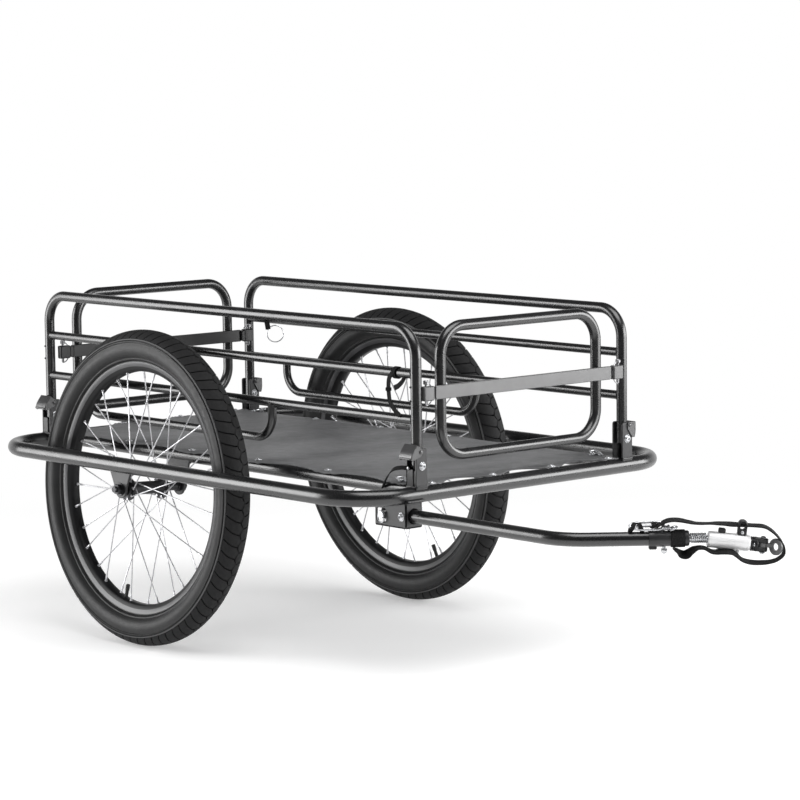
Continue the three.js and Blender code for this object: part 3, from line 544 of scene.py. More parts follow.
def plated_steel(name, colour, gloss):
    """Bright zinc or chrome plate on steel, with fine rolling marks and dulled patches."""
    plate = Finish(name)
    patches = plate.noise(90, 4, 0.6)
    dull = tuple(value * 0.72 for value in colour[:3]) + (1,)
    plate.surface({
        "Base Color": plate.mix(plate.band(patches, 0.35, 0.7), colour, dull),
        "Metallic": 0.75,
        "Roughness": gloss + 0.14 * plate.band(patches, 0.3, 0.75),
    }, plate.noise(700, 3, 0.6, (1, 1, 0.3)), 0.00004)
    return plate


zinc = plated_steel("bright_zinc", (0.70, 0.71, 0.73, 1), 0.20)


def fitting(name, form, body, *nodes):
    """A visible piece of bright plated steel."""
    return piece(name, form, zinc, body, "zinc_steel", *nodes)


def scaled(shares, height, radius):
    """A profile to turn, from shares of a height and of a radius."""
    return [(height * up, radius * out) for up, out in shares]


def pan_head(place, along, radius=5.0, height=3.0, recess=1.6):
    """A domed screw head with a drive recess in its top."""
    dome = scaled([(0, 0.96), (0.25, 1), (0.6, 0.86), (0.88, 0.58), (1, 0.34)], height, radius)
    drive = [(height - recess * 0.2, radius * 0.3), (height - recess, radius * 0.26)]
    return turned(dome + drive, place, along, 24)


def washer(place, along, radius, hole, thickness=1.0):
    profile = [(0, hole), (0, radius - 0.2), (0.2, radius)]
    profile += [(thickness - 0.2, radius), (thickness, radius - 0.2), (thickness, hole)]
    return turned(profile, place, along, 32, closed=True)


screw_washer, screw_head = (6.2, 2.4), (3.9, 2.2, 1.2)
screws = []
for x, y in deck_screws:
    base = np.array((x, y, deck_z - 0.4))
    screws += [washer(base, z_axis, *screw_washer), pan_head(base + (0, 0, 0.9), z_axis, *screw_head)]
fitting("deck_screws", joined(screws), "frame")

# Tie-down rings: a small chromed D-ring under a steel tongue at each corner of the deck.
# The ring leans up from the cloth toward the middle.
ring_wire, ring_half_width, ring_length, ring_rise = 1.3, 8.5, 13, 3.4
ring_insets = {"front": 43.7, "rear": 47.7}
tongue_line = ((-4, -2.4), (-1.5, 0.3), (1.5, 1.6), (4.5, 0.2), (9, -2))
tie_rings = []
for end, outward in ends.items():
    for sign in sides.values():
        x = loop_x[end] - outward * ring_insets[end]
        y, z = sign * (rail_side + 2), deck_z + 2.4
        outline = [(x, y - ring_half_width, z), (x, y + ring_half_width, z)]
        outline += [(x - outward * ring_length, y + ring_half_width * 0.7, z + ring_rise)]
        outline += [(x - outward * ring_length, y - ring_half_width * 0.7, z + ring_rise)]
        tie_rings.append(tube(bent(outline, 4.2, closed=True, steps=8), ring_wire, 12, closed=True))
        tongue = [(x + dx, y, z + dz) for dx, dz in tongue_line]
        tie_rings.append(tube(tongue, 4.2, 12, flatness=0.28, wide=y_axis))
fitting("tie_down_rings", joined(tie_rings), "frame")

# Corner brackets: pressed channels welded over the loop and the rails. A bolt through each
# is the hinge of one post.
post_radius, post_side = 8.5, 219.3
post_x = {"front": loop_front - 1.5, "rear": loop_rear + 7.4}
bracket_wall, bracket_depth, bracket_height = 3, 22, 62.3
bracket_bottom = loop_top - 4.7
bracket_top = bracket_bottom + bracket_height
flange_inner = post_radius + 0.3
flange_outer = flange_inner + bracket_wall
bracket_outer = post_side + flange_outer
bracket_inner = bracket_outer - bracket_depth
web_height, slot_width = 31.3, 5.0
hinge_z = bracket_top - 26.5


def inset(outline, distance):
    """The same outline moved to its left, which is inward when it runs anticlockwise."""
    before, after = outline - np.roll(outline, 1, 0), np.roll(outline, -1, 0) - outline
    lefts = []
    for step in (before, after):
        length = np.linalg.norm(step, axis=1, keepdims=True)
        lefts.append(np.stack([-step[:, 1], step[:, 0]], 1) / length)
    dot = (lefts[0] * lefts[1]).sum(1, keepdims=True)
    return outline + distance * (lefts[0] + lefts[1]) / (1 + np.clip(dot, -0.5, 1))


def signed_area(outline):
    after = np.roll(outline, -1, 0)
    return (outline[:, 0] * after[:, 1] - after[:, 0] * outline[:, 1]).sum() / 2


def slab(outline, thickness, easing=0.6, holes=()):
    """A flat plate about Z 0, from its outline and holes, with eased edges."""
    loops = [np.array(points, float) for points in (outline, *holes)]
    for i, points in enumerate(loops):
        if (signed_area(points) > 0) != (i == 0):
            loops[i] = points[::-1]
    half = thickness / 2
    layers = [(easing, -half), (0, -half + easing), (0, half - easing), (easing, half)]
    corners, faces, caps = [], [], {0: [], len(layers) - 1: []}
    for points in loops:
        count, start = len(points), len(corners)
        for number, (distance, z) in enumerate(layers):
            rim = [(*place, z) for place in inset(points, distance)]
            if number in caps:
                caps[number].append((start + number * count, rim))
            corners += rim
        rows = ring_faces(len(layers), count, False)[:-2]
        faces += [tuple(i + start for i in face) for face in rows]
    for parts in caps.values():
        numbers = [first + i for first, rim in parts for i in range(len(rim))]
        for triangle in tessellate_polygon([[Vector(p) for p in rim] for _, rim in parts]):
            faces.append(tuple(numbers[i] for i in triangle))
    return Form(corners, faces)


def eased(corners, radius, steps=5):
    """A flat outline with its corners rounded; radius is one number, or one for each corner."""
    radii = np.broadcast_to(np.array(radius, float), len(corners))
    line = []
    for i, corner in enumerate(np.array(corners, float)):
        before, after = np.array(corners[i - 1], float), np.array(corners[(i + 1) % len(corners)], float)
        if radii[i] <= 0:
            line.append(corner)
            continue
        into, out = unit(corner - before), unit(after - corner)
        turn = math.acos(np.clip(into @ out, -1, 1))
        inward = unit(out - into * (into @ out))
        start = corner - into * radii[i] * math.tan(turn / 2)
        for angle in np.linspace(0, turn, steps + 1):
            line.append(start + into * radii[i] * math.sin(angle) + inward * radii[i] * (1 - math.cos(angle)))
    return line


def circle(x, y, radius, steps=24):
    angles = full_turn(steps)
    return [(x + radius * math.cos(a), y + radius * math.sin(a)) for a in angles]


def plane(origin, first, second):
    """A placing matrix whose X and Y run along two directions."""
    first, second = unit(first), unit(second)
    matrix = np.eye(4)
    matrix[:3] = np.column_stack([first, second, np.cross(first, second), origin])
    return matrix


def rounded(corner, opposite, radius, steps=5):
    """The outline of a rectangle between two opposite corners, with its corners rounded."""
    low, high = np.minimum(corner, opposite), np.maximum(corner, opposite)
    return eased([(low[0], low[1]), (high[0], low[1]), (high[0], high[1]), (low[0], high[1])], radius, steps)


def across_x(x, outline, thickness, easing=0.6, holes=()):
    """A plate that faces along X, from an outline of Y and Z places."""
    return slab(outline, thickness, easing, holes).placed(plane((x, 0, 0), y_axis, z_axis))


def across_y(y, outline, thickness, easing=0.6, holes=()):
    """A plate that faces along Y, from an outline of X and Z places."""
    return slab(outline, thickness, easing, holes).placed(plane((0, y, 0), x_axis, z_axis))


def bolt_head(place, along, radius=5.5, height=3.6):
    """A button head with a hexagon socket, on its washer."""
    shares = [(0, 1), (0.35, 0.97), (0.7, 0.8), (0.93, 0.5), (0.95, 0.42), (0.4, 0.40)]
    profile = [(0.9 + up, out) for up, out in scaled(shares, height, radius)]
    return washer(place, along, radius * 1.18, radius * 0.4, 0.9) + turned(profile, place, along, 28)


def lock_nut(place, along, radius=6.0, height=5.0):
    """A hexagon nut with its nylon collar and the bolt's end."""
    nut = scaled([(0, 0.94), (0.1, 1), (0.62, 1), (0.7, 0.93)], height, radius)
    collar = scaled([(0.7, 0.80), (0.95, 0.78), (1, 0.7)], height, radius)
    stud = scaled([(0, 0.5), (1.12, 0.5), (1.2, 0.42)], height, radius)
    return turned(nut, place, along, 6) + turned(collar, place, along, 24) + turned(stud, place, along, 16)


posts = [(end, side, sign, f"{end}_{side}") for end in ends for side, sign in sides.items()]
foot_weld, bolt_radius = 1.7, 3
for end, side, sign, at in posts:
    x = post_x[end]
    low, high = (sign * bracket_inner, bracket_bottom), (sign * bracket_outer, bracket_top)
    flange = rounded(low, high, [0.5, 0.5, 4, 4])
    middle = (flange_inner + flange_outer) / 2
    walls = [across_x(x + toward * middle, flange, bracket_wall) for toward in (-1, 1)]
    low = (x - flange_outer, bracket_bottom)
    high = (x + flange_inner - slot_width, bracket_bottom + web_height)
    web = rounded(low, high, [1, 1, 2, 2])
    walls.append(across_y(sign * (bracket_outer - bracket_wall / 2), web, bracket_wall))
    foot = [
        (x + toward * flange_outer, sign * y, loop_top - 0.6)
        for toward, y in ((1, bracket_inner), (1, bracket_outer), (-1, bracket_outer), (-1, bracket_inner))
    ]
    walls.append(tube(bent(foot, 2.5, steps=4), foot_weld, 8))
    piece(f"bracket_{at}", joined(walls), plate_black, "frame", "plate_paint", f"corner_bracket_{at}")
    near_end = np.array((x, sign * post_side, hinge_z)) + (flange_outer, 0, 0)
    far_end = np.array((x, sign * post_side, hinge_z)) - (flange_outer, 0, 0)
    bolt = tube([far_end, near_end], bolt_radius, 16) + bolt_head(near_end, x_axis)
    fitting(f"hinge_bolt_set_{at}", bolt + lock_nut(far_end, -x_axis), "frame", f"hinge_bolt_{at}")

# Latch flaps: pressed steel covers with two cheeks and a curled lip, which turn on rivets at
# the top of each bracket. The right pair rests part open.
flap_wall, flap_height, flap_reach = 1.8, 25, 5.9
flap_outer = bracket_outer + flap_reach
flap_bottom = bracket_top - flap_height
flap_pivot = np.array((flap_outer - 13.5, bracket_top - 5))
flap_open = math.radians(36)
flap_inner = flange_outer + 0.3
flap_half = flap_inner + flap_wall
bulge_low, bulge_high = 2.6, 0.5
flap_back = flap_pivot[0] - 4.5
cheek = [
    (flap_outer - 2.4, flap_bottom), (flap_outer - 0.8, flap_bottom + 7),
    (flap_outer - 0.4, flap_bottom + 12.5), (flap_outer - 0.6, bracket_top),
    (flap_back, bracket_top), (flap_back, bracket_top - 10), (flap_outer - 7.5, flap_bottom),
]
cheek = eased(cheek, [0.8, 3, 3, 1, 4, 4, 3])
bulge = [
    (flap_outer - (bulge_low if t < 0.5 else bulge_high) * (2 * t - 1) ** 2, flap_bottom + t * flap_height)
    for t in np.linspace(0, 1, 15)
]
shell = bulge + [(y - flap_wall, z) for y, z in reversed(bulge)]
rivet_head = [(-flap_wall, 3.2), (0.7, 3.2), (1.3, 2.4), (1.6, 1.2)]
flap_steel = powder_coat("flap_steel", grey(0.03, 0.031), 0.26, 0.000012)


def mirrored(form, sign):
    """The same form on the left or on the right side, from the left one."""
    return form.placed(np.diag([1.0, sign, 1.0, 1.0]))


for end, side, sign, at in posts:
    x = post_x[end]
    parts = [across_x(x + toward * (flap_inner + flap_wall / 2), cheek, flap_wall, 0.4) for toward in (-1, 1)]
    parts.append(across_x(x, shell, 2 * flap_half, 0.4))
    lip_place = (flap_outer - 2.2, flap_bottom + 1)
    parts.append(tube([(x - flap_half + 2, *lip_place), (x + flap_half - 2, *lip_place)], 1.5, 12))
    for toward in (-1, 1):
        rivet = (x + toward * flap_half, *flap_pivot)
        parts.append(turned(rivet_head, rivet, (toward, 0, 0), 20))
    flap = joined(parts)
    if side == "right":
        pivot = Matrix.Translation((0, *flap_pivot))
        flap = flap.placed(pivot @ Matrix.Rotation(flap_open, 4, "X") @ pivot.inverted())
    flap = mirrored(flap, sign)
    piece(f"flap_{at}_cover", flap, flap_steel, f"flap_{at}", "zinc_steel", f"latch_flap_{at}")

# Side panels: a hoop of thin tube whose feet turn on the bracket bolts, with two rails across
# it and a bent guard that keeps the load off the wheel. Each joint has a small weld bead.
hoop_rise, hoop_bend, thin_radius = 205.9, 45, 7
hoop_top = hinge_z + hoop_rise
upper_z, lower_z = hinge_z + 0.666 * hoop_rise, hinge_z + 0.332 * hoop_rise
guard_x, guard_bend = (-238, 256), 38
guard_z = lower_z - 0.84 * (lower_z - hinge_z)
foot_drop = 7.6
thin_weld = thin_radius + 0.2


def u_line(x, far_x, y, foot_z, bar_z, radius, steps):
    """The line of a tube that is bent into a U in a side panel's plane."""
    return bent([(x, y, foot_z), (x, y, bar_z), (far_x, y, bar_z), (far_x, y, foot_z)], radius, steps=steps)


for side, sign in sides.items():
    y, body = sign * post_side, f"side_{side}"
    hoop_line = u_line(post_x["rear"], post_x["front"], y, hinge_z - foot_drop, hoop_top, hoop_bend, 20)
    tubing(f"hoop_tube_{side}", tube(hoop_line, post_radius, 36), body, f"side_hoop_{side}")
    for name, z in (("upper", upper_z), ("lower", lower_z)):
        rail = tube([(post_x["rear"], y, z), (post_x["front"], y, z)], thin_radius, 32)
        tubing(f"{name}_side_rail_{side}", rail, body, f"{name}_rail_{side}")
    guard = tube(u_line(*guard_x, y, lower_z, guard_z, guard_bend, 14), thin_radius, 32)
    tubing(f"wheel_guard_tube_{side}", guard, body, f"wheel_guard_{side}")
    joints = [
        ((0, y, z), (outward, 0, 0), thin_weld, (post_x[end], y, 0), z_axis, post_radius)
        for z in (upper_z, lower_z)
        for end, outward in ends.items()
    ]
    joints += [((x, y, guard_z), z_axis, thin_weld, (0, y, lower_z), x_axis, thin_radius) for x in guard_x]
    tubing(f"side_welds_{side}", joined(weld(*joint, bead=1.2, ripples=18) for joint in joints), body)

# Gates: a closed loop of the same tube with a flat steel bar welded across its front face.
# The front gate's bar is grey and the rear one's black. Their ends lie on the clamps' tabs.
gate_side, gate_bend = post_side - 53.6, 45
gate_top, gate_bottom = hoop_top - 1.5, hinge_z + 7.9
gate_x = {"front": post_x["front"] - 4.8, "rear": post_x["rear"] + 4.8}
bar_height, bar_thickness, bar_reach = 21, 5, post_side - 31.9
bar_z = gate_bottom + 0.507 * (gate_top - gate_bottom)
bar_finish = {
    "front": powder_coat("bar_grey", grey(0.052, 0.053), 0.30, 0.000015),
    "rear": powder_coat("bar_black", grey(0.006, 0.0065), 0.34, 0.000015, 0.45),
}
seam_forward, seam_offset, seam_share = post_radius * 0.86, 4.6, 0.46


def rough_bead(line, size, rise):
    """A straight weld bead, whose size steps through three values along a line."""
    return tube(line, [size + rise * (i % 3) for i in range(len(line))], 8)


for end in ends:
    x = gate_x[end]
    corners = [(x, -gate_side, gate_bottom), (x, gate_side, gate_bottom)]
    corners += [(x, gate_side, gate_top), (x, -gate_side, gate_top)]
    gate = tube(bent(corners, gate_bend, closed=True, steps=20), post_radius, 36, closed=True)
    tubing(f"gate_tube_{end}", gate, f"gate_{end}", f"gate_loop_{end}")
    outline = rounded((-bar_reach, bar_z - bar_height / 2), (bar_reach, bar_z + bar_height / 2), 3)
    bar = across_x(x + post_radius + 0.3 + bar_thickness / 2, outline, bar_thickness, 0.9)
    seams = []
    for y in (sign * gate_side + dy for sign in (-1, 1) for dy in (-seam_offset, seam_offset)):
        heights = [bar_z + share * bar_height for share in np.linspace(-seam_share, seam_share, 25)]
        seams.append(rough_bead([(x + seam_forward, y, z) for z in heights], 1.5, 0.25))
    piece(f"gate_bar_{end}_plate", bar, bar_finish[end], f"gate_{end}", "bar_paint", f"gate_bar_{end}")
    tubing(f"gate_bar_welds_{end}", joined(seams), f"gate_{end}")

# Clamps: blocks beside the posts that hold the bars' ends, in the colour of their bar. A pull
# pin runs down through each, kept by a sprung wire that snaps over both of its ends.
clamp_height, clamp_gap, clamp_lip, clamp_rounding = 22, 3.9, 2.4, 2.2
tab_reach, tab_thickness, tab_height = 3.4, 3, 18
pin_inset, pin_radius, pin_below, pin_above, pin_cap = 13.5, 2, 7, 3, 3
wire_radius, wire_bulge, wire_skew = 0.9, 13, 3.4 * 0.3
clamp_seam_radius, clamp_seam_inset = post_radius + 0.6, 0.6
seam_angles = [math.radians(a) for a in range(105, 256, 10)]
pin_steel = plated_steel("pin_steel", grey(0.36, 0.37), 0.26)


def block(xs, ys, zs, easing=1.4):
    """A block with rounded edges between two places along each axis."""
    form = slab(rounded((xs[0], ys[0]), (xs[1], ys[1]), clamp_rounding, 4), zs[1] - zs[0], easing)
    return form.placed(plane((0, 0, (zs[0] + zs[1]) / 2), x_axis, y_axis))


for end, side, sign, at in posts:
    outward = ends[end]
    bar_low = gate_x[end] + post_radius + 0.3
    bar_high = bar_low + bar_thickness
    inner_face, outer_face = (bar_low, bar_high) if outward > 0 else (bar_high, bar_low)
    tab_x = inner_face - outward * 0.3
    back_x, lip_x = tab_x - outward * tab_thickness, outer_face + outward * clamp_lip
    start_y = bar_reach + clamp_gap
    z_low, z_high = bar_z - clamp_height / 2, bar_z + clamp_height / 2
    tab_z = (bar_z - tab_height / 2, bar_z + tab_height / 2)
    clamp = block((back_x, lip_x), (start_y, post_side - post_radius + 1.5), (z_low, z_high))
    clamp = clamp + block((back_x, tab_x), (bar_reach - tab_reach, start_y + 2), tab_z, 0.8)
    clamp = mirrored(clamp, sign)
    piece(f"clamp_{at}", clamp, bar_finish[end], f"side_{side}", "plate_paint", f"gate_clamp_{at}")
    arc = [(clamp_seam_radius * math.cos(a), clamp_seam_radius * math.sin(a)) for a in seam_angles]
    seams = [
        tube([(post_x[end] + dx, post_side - dy, z) for dx, dy in arc], 1.3, 10)
        for z in (z_low + clamp_seam_inset, z_high - clamp_seam_inset)
    ]
    tubing(f"clamp_seams_{at}", mirrored(joined(seams), sign), f"side_{side}")
    pin_x, pin_y = (back_x + lip_x) / 2, start_y + pin_inset
    foot_z, head_z = z_low - pin_below, z_high + pin_above
    stem_length = head_z - foot_z
    stem = turned([
        (0, pin_radius * 0.6), (1.4, pin_radius), (stem_length, pin_radius), (stem_length, 3.6),
        (stem_length + 0.8, 4.2), (stem_length + 5, 4.2), (stem_length + 6, 3.4),
    ], (pin_x, pin_y, foot_z), z_axis, 20)
    middle_z, reach_z = (foot_z + head_z + pin_cap) / 2, (head_z + pin_cap - foot_z) / 2
    wire = [
        (pin_x + wire_skew * math.cos(a), pin_y - wire_bulge * math.cos(a), middle_z + reach_z * math.sin(a))
        for a in np.linspace(-math.pi / 2, math.pi / 2, 33)
    ]
    pin = mirrored(stem + tube(wire, wire_radius, 10, wide=x_axis), sign)
    piece(f"pin_{at}_set", pin, pin_steel, f"pin_{at}", "zinc_steel", f"clamp_pin_{at}")

# Axle hangers: steel plates welded under the loop and the inner rails, with rounded feet. Each
# carries one end of a short wheel axle, held by a nut inside and outside.
plate_thickness, plate_half_top, plate_end = 4, 33, 15
outer_plate, inner_plate = loop_side - 5.6, rail_side + 6
camber = math.radians(3.25)
tyre_width, tyre_ring = 54, 231
wheel_track = loop_side - 52.6
wheel_z = tyre_ring * math.cos(camber) + tyre_width / 2
outer_face = (outer_plate + plate_thickness / 2 - wheel_track) / math.cos(camber) + 0.4
inner_face = (inner_plate - plate_thickness / 2 - wheel_track) / math.cos(camber) - 0.4
foot_angles = np.linspace(-math.pi, 0, 19)
axle_radius, axle_past_nuts = 5, {"inner": 9.1, "outer": 13}
spacer_end = {1: 4.6, -1: 24}
axle_black = plated_steel("black_oxide_steel", grey(0.055, 0.058), 0.34)


def axle_place(sign, outward):
    """A place on a leaning axle, a distance outward from the wheel's middle."""
    y = sign * (wheel_track + outward * math.cos(camber))
    return np.array((0, y, wheel_z + outward * math.sin(camber)))


hangers = (("outer", outer_plate, loop_z, loop_radius), ("inner", inner_plate, rail_z, rail_radius))
for side, sign in sides.items():
    for name, y, carrier_z, carrier_radius in hangers:
        label = f"{name}_{side}"
        foot_z = axle_place(sign, y - wheel_track)[2]
        outline = [(plate_end * math.cos(a), foot_z + plate_end * math.sin(a)) for a in foot_angles]
        outline += [(plate_end + 3.5, foot_z + 9), (plate_half_top, carrier_z)]
        outline += [(-plate_half_top, carrier_z), (-plate_end - 3.5, foot_z + 9)]
        seam = [(x, sign * (y - 2.6), carrier_z - carrier_radius + 0.6) for x in np.linspace(-29, 29, 40)]
        hanger = across_y(sign * y, outline, plate_thickness, 0.7) + rough_bead(seam, 1.5, 0.22)
        piece(f"hanger_{label}", hanger, plate_black, "frame", "plate_paint", f"axle_hanger_{label}")
    outward = axle_place(sign, 1) - axle_place(sign, 0)
    axle_ends = (inner_face - axle_past_nuts["inner"], outer_face + axle_past_nuts["outer"])
    parts = [tube([axle_place(sign, distance) for distance in axle_ends], axle_radius, 24)]
    for face, toward in ((outer_face, 1), (inner_face, -1)):
        at = axle_place(sign, face)
        parts.append(washer(at, outward * toward, 10.5, axle_radius, 1.6))
        parts.append(turned([(1.6, 8.2), (2.4, 9), (7.4, 9), (8.2, 8.2)], at, outward * toward, 6))
        inside = axle_place(sign, face - toward * (plate_thickness + 1))
        cone = [(0, 8.6), (1, 9.2), (4.5, 9.2), (5.5, 7.2), (spacer_end[toward], 7.2)]
        parts.append(turned(cone, inside, -outward * toward, 24))
    piece(f"axle_set_{side}", joined(parts), axle_black, "frame", "zinc_steel", f"axle_{side}")

# Wheels: 20 inch tyres with fine sipes and a painted highlight along a raised ridge on each wall, black
# box rims whose flanges carry a painted grey highlight, and narrow black hubs with 32 bright steel
# spokes, which are laced in crossing pairs and end in plated nipples.
rubber = Finish("tyre_rubber")
rubber_cloud = rubber.band(rubber.noise(30, 4, 0.6), 0.3, 0.7)
rubber_x, rubber_y, rubber_z = (rubber.node("SeparateXYZ", {}, {0: rubber.place}, name) for name in "XYZ")
beside = rubber_y.size() - wheel_track * mm
upward = (rubber_z - wheel_z * mm) * math.cos(camber) - beside * math.sin(camber)
ahead_of_axle = rubber_x - axle_x
from_axle = (upward * upward + ahead_of_axle * ahead_of_axle) ** 0.5
tread_radius = (tyre_ring + tyre_width / 2 * math.cos(math.radians(64))) * mm
on_tread = rubber.band(from_axle, tread_radius - 0.5 * mm, tread_radius + 0.5 * mm)
# The thin light grey line on the raised ridge near each tread shoulder is a painted highlight on black
# rubber.
ridge_radius = (tyre_ring + (tyre_width / 2 + 0.8) * math.cos(math.radians(65.8))) * mm
ridge_highlight = 1 - rubber.band((from_axle - ridge_radius).size(), 0.7 * mm, 1.2 * mm)
wall_shade = rubber.mix(rubber_cloud, grey(0.013, 0.0135), grey(0.022, 0.0225))
plain_shade = rubber.mix(on_tread, wall_shade, grey(0.0095, 0.010))
dulled = 0.12 * rubber.band(rubber.noise(200, 3), 0.3, 0.7)
rubber.surface({
    "Base Color": rubber.mix(ridge_highlight, plain_shade, grey(0.085, 0.086)),
    "Roughness": 0.42 + 0.26 * on_tread * (1 - ridge_highlight) + dulled,
    "Specular IOR Level": 0.32,
}, rubber.noise(1300, 2), 0.00005)
tube_rubber = Finish("valve_rubber")
tube_rubber.surface({
    "Base Color": tube_rubber.mix(tube_rubber.noise(150, 2), grey(0.009), grey(0.015)),
    "Roughness": 0.5 + 0.15 * tube_rubber.noise(500, 2),
}, tube_rubber.noise(1500, 2), 0.00006)
rim_paint = powder_coat("rim_black", grey(0.006, 0.0065), 0.34, shine=0.25)
# The grey on the rims' flange lips is a painted highlight; the rims are black all over.
flange_highlight_paint = powder_coat("rim_flange_painted_highlight", grey(0.05, 0.052), 0.28, shine=0.5)
spoke_steel = plated_steel("spoke_steel", grey(0.66, 0.68), 0.24)

rim_half, rim_lip, rim_depth = 14, 2, 16.5
tyre_opening = math.asin((rim_half - rim_lip) / (tyre_width / 2))
rim_top = tyre_ring - tyre_width / 2 * math.cos(tyre_opening) - 0.3
rim_inner = rim_top - rim_depth
sipe_count, sipe_depth, groove_depth = 80, 3.0, 2.2
sipe_steps = [0.0, 0.14, 0.28, 0.44, 0.46, 0.54, 0.56, 0.72, 0.86]
sipe_bottom = (4, 5)
tread_edge = 61
tread_rows = [0, 2.6, 5.0, 9, 14, 20, 27, 34, 41, 47, 53, 58, tread_edge]
wall_rows = [
    (62.5, -0.8), (63.5, 0.8), (68, 0.8), (69.5, -0.9), (71.5, -0.9), (73, 0.6), (76, 0.6), (78, -0.9),
    (82, -1.0), (88, -0.5), (97, 0.1), (107, 0.4), (117, 0.3), (127, -0.2), (133, -0.9), (137, -0.9),
    (140, 0.2), (146, 0.2), (152, 0.0),
]
bead_angle, bead_inside = 152, 20.5
valve_angles = {"right": math.radians(-13), "left": math.radians(23.5)}


def tyre_form():
    """The tyre about its own axle along Y, with sipes that follow the columns of its mesh."""
    half = [(angle, 0.0, True) for angle in tread_rows] + [(angle, lift, False) for angle, lift in wall_rows]
    rows = [(-angle, lift, tread) for angle, lift, tread in reversed(half[1:])] + half
    corners = []
    for number in range(sipe_count):
        for step, share in enumerate(sipe_steps):
            for angle, lift, tread in rows:
                out = abs(angle)
                curve = 0.6 * (out / tread_edge) ** 2 if tread else 0.6
                shift = 0.5 if angle > 0 else 0.0
                turn = (number + share + curve + shift) * 2 * math.pi / sipe_count
                wander = 5.0 * math.cos((share + shift) * 2 * math.pi) * max(0, 1 - out / 20) if tread else 0
                radius = tyre_width / 2 + lift
                if tread and step in sipe_bottom and out > 4:
                    radius -= sipe_depth * (1 if out < tread_edge else 0.5)
                if tread and out < 1:
                    radius -= groove_depth
                section = math.radians(angle + wander)
                reach = tyre_ring + radius * math.cos(section)
                corners.append((reach * math.sin(turn), radius * math.sin(section), -reach * math.cos(turn)))
    columns = sipe_count * len(sipe_steps)
    faces = ring_faces(columns, len(rows), True, closed_round=False)
    foot = [(math.radians(sign * bead_angle), bead_inside) for sign in (1, -1)]
    start = len(corners)
    for column in range(columns):
        turn = math.atan2(corners[column * len(rows)][0], -corners[column * len(rows)][2])
        for section, radius in foot:
            reach = tyre_ring + radius * math.cos(section)
            corners.append((reach * math.sin(turn), radius * math.sin(section), -reach * math.cos(turn)))
    last = len(rows) - 1
    for column in range(columns):
        after = (column + 1) % columns
        a, b = column * len(rows), after * len(rows)
        c, d = start + column * 2, start + after * 2
        faces += [(a + last, c, d, b + last), (c, c + 1, d + 1, d), (c + 1, a, b, d + 1)]
    return Form(corners, faces)


def wheel_matrix(side):
    """The placing of a wheel, which leans in at its top."""
    place = Matrix.Translation((0, sides[side] * wheel_track, wheel_z))
    return place @ Matrix.Rotation(sides[side] * camber, 4, "X")


def revolved(profile, steps=180):
    """A closed ring about Y from pairs of radius and Y."""
    angles = full_turn(steps)
    corners = [(r * math.sin(a), y, -r * math.cos(a)) for a in angles for r, y in profile]
    return Form(corners, ring_faces(steps, len(profile), True))


def polar(radius, angle, y):
    return np.array((radius * math.sin(angle), y, -radius * math.cos(angle)))


def flipped(profile):
    """The other half of a symmetrical profile, which goes back along the first."""
    return [(r, -y) for r, y in reversed(profile)]


rim_profile = [
    (rim_top, 12), (rim_top + 1.0, 12.4), (rim_top + 1.2, 13.4), (rim_top + 0.2, 14), (rim_top - 2.5, 13.8),
    (rim_inner + 3, 9.2), (rim_inner + 1, 7.4), (rim_inner, 5), (rim_inner, 0),
]
rim_well = [(rim_top - 7, 3), (rim_top - 7, 10)]
full_rim = rim_profile + flipped(rim_profile[:-1]) + flipped(rim_well) + rim_well
# A thin ring laid over each black flange lip carries the painted grey highlight.
flange_highlight_ring = [(rim_top - 1.0, 14.1), (rim_top - 2.6, 14.0), (rim_top - 8.2, 11.8)]
flange_highlight_ring += [(rim_top - 8.0, 11.2), (rim_top - 2.9, 13.2)]
stem_profile = [(0, 4.2), (3, 4.2), (4, 3.0), (14, 2.9), (15, 3.3), (17, 3.5), (24, 3.5), (25, 2.9)]
hub_half = [(10.5, 0), (10.5, 24), (11.5, 27), (14, 31.5), (19.5, 32), (19.5, 35)]
hub_half += [(18.8, 35.4), (12, 35.4), (10.5, 36.5), (10.5, 38), (5.4, 38)]
spoke_count, flange_y, seat_radius, spoke_radius = 32, 33.5, 16.5, 1.05
sweep_angle, stagger, rim_spread = math.radians(62), 2.2, 3.0
head_profile = [(-0.6, 1.4), (0, 2.1), (0.8, 2.1), (1.1, 1.2)]
nipple_length, nipple_profile = 13, [(0, 1.2), (0.6, 1.6), (10, 1.6), (10.6, 2.3), (13, 2.5)]
tyre = tyre_form()
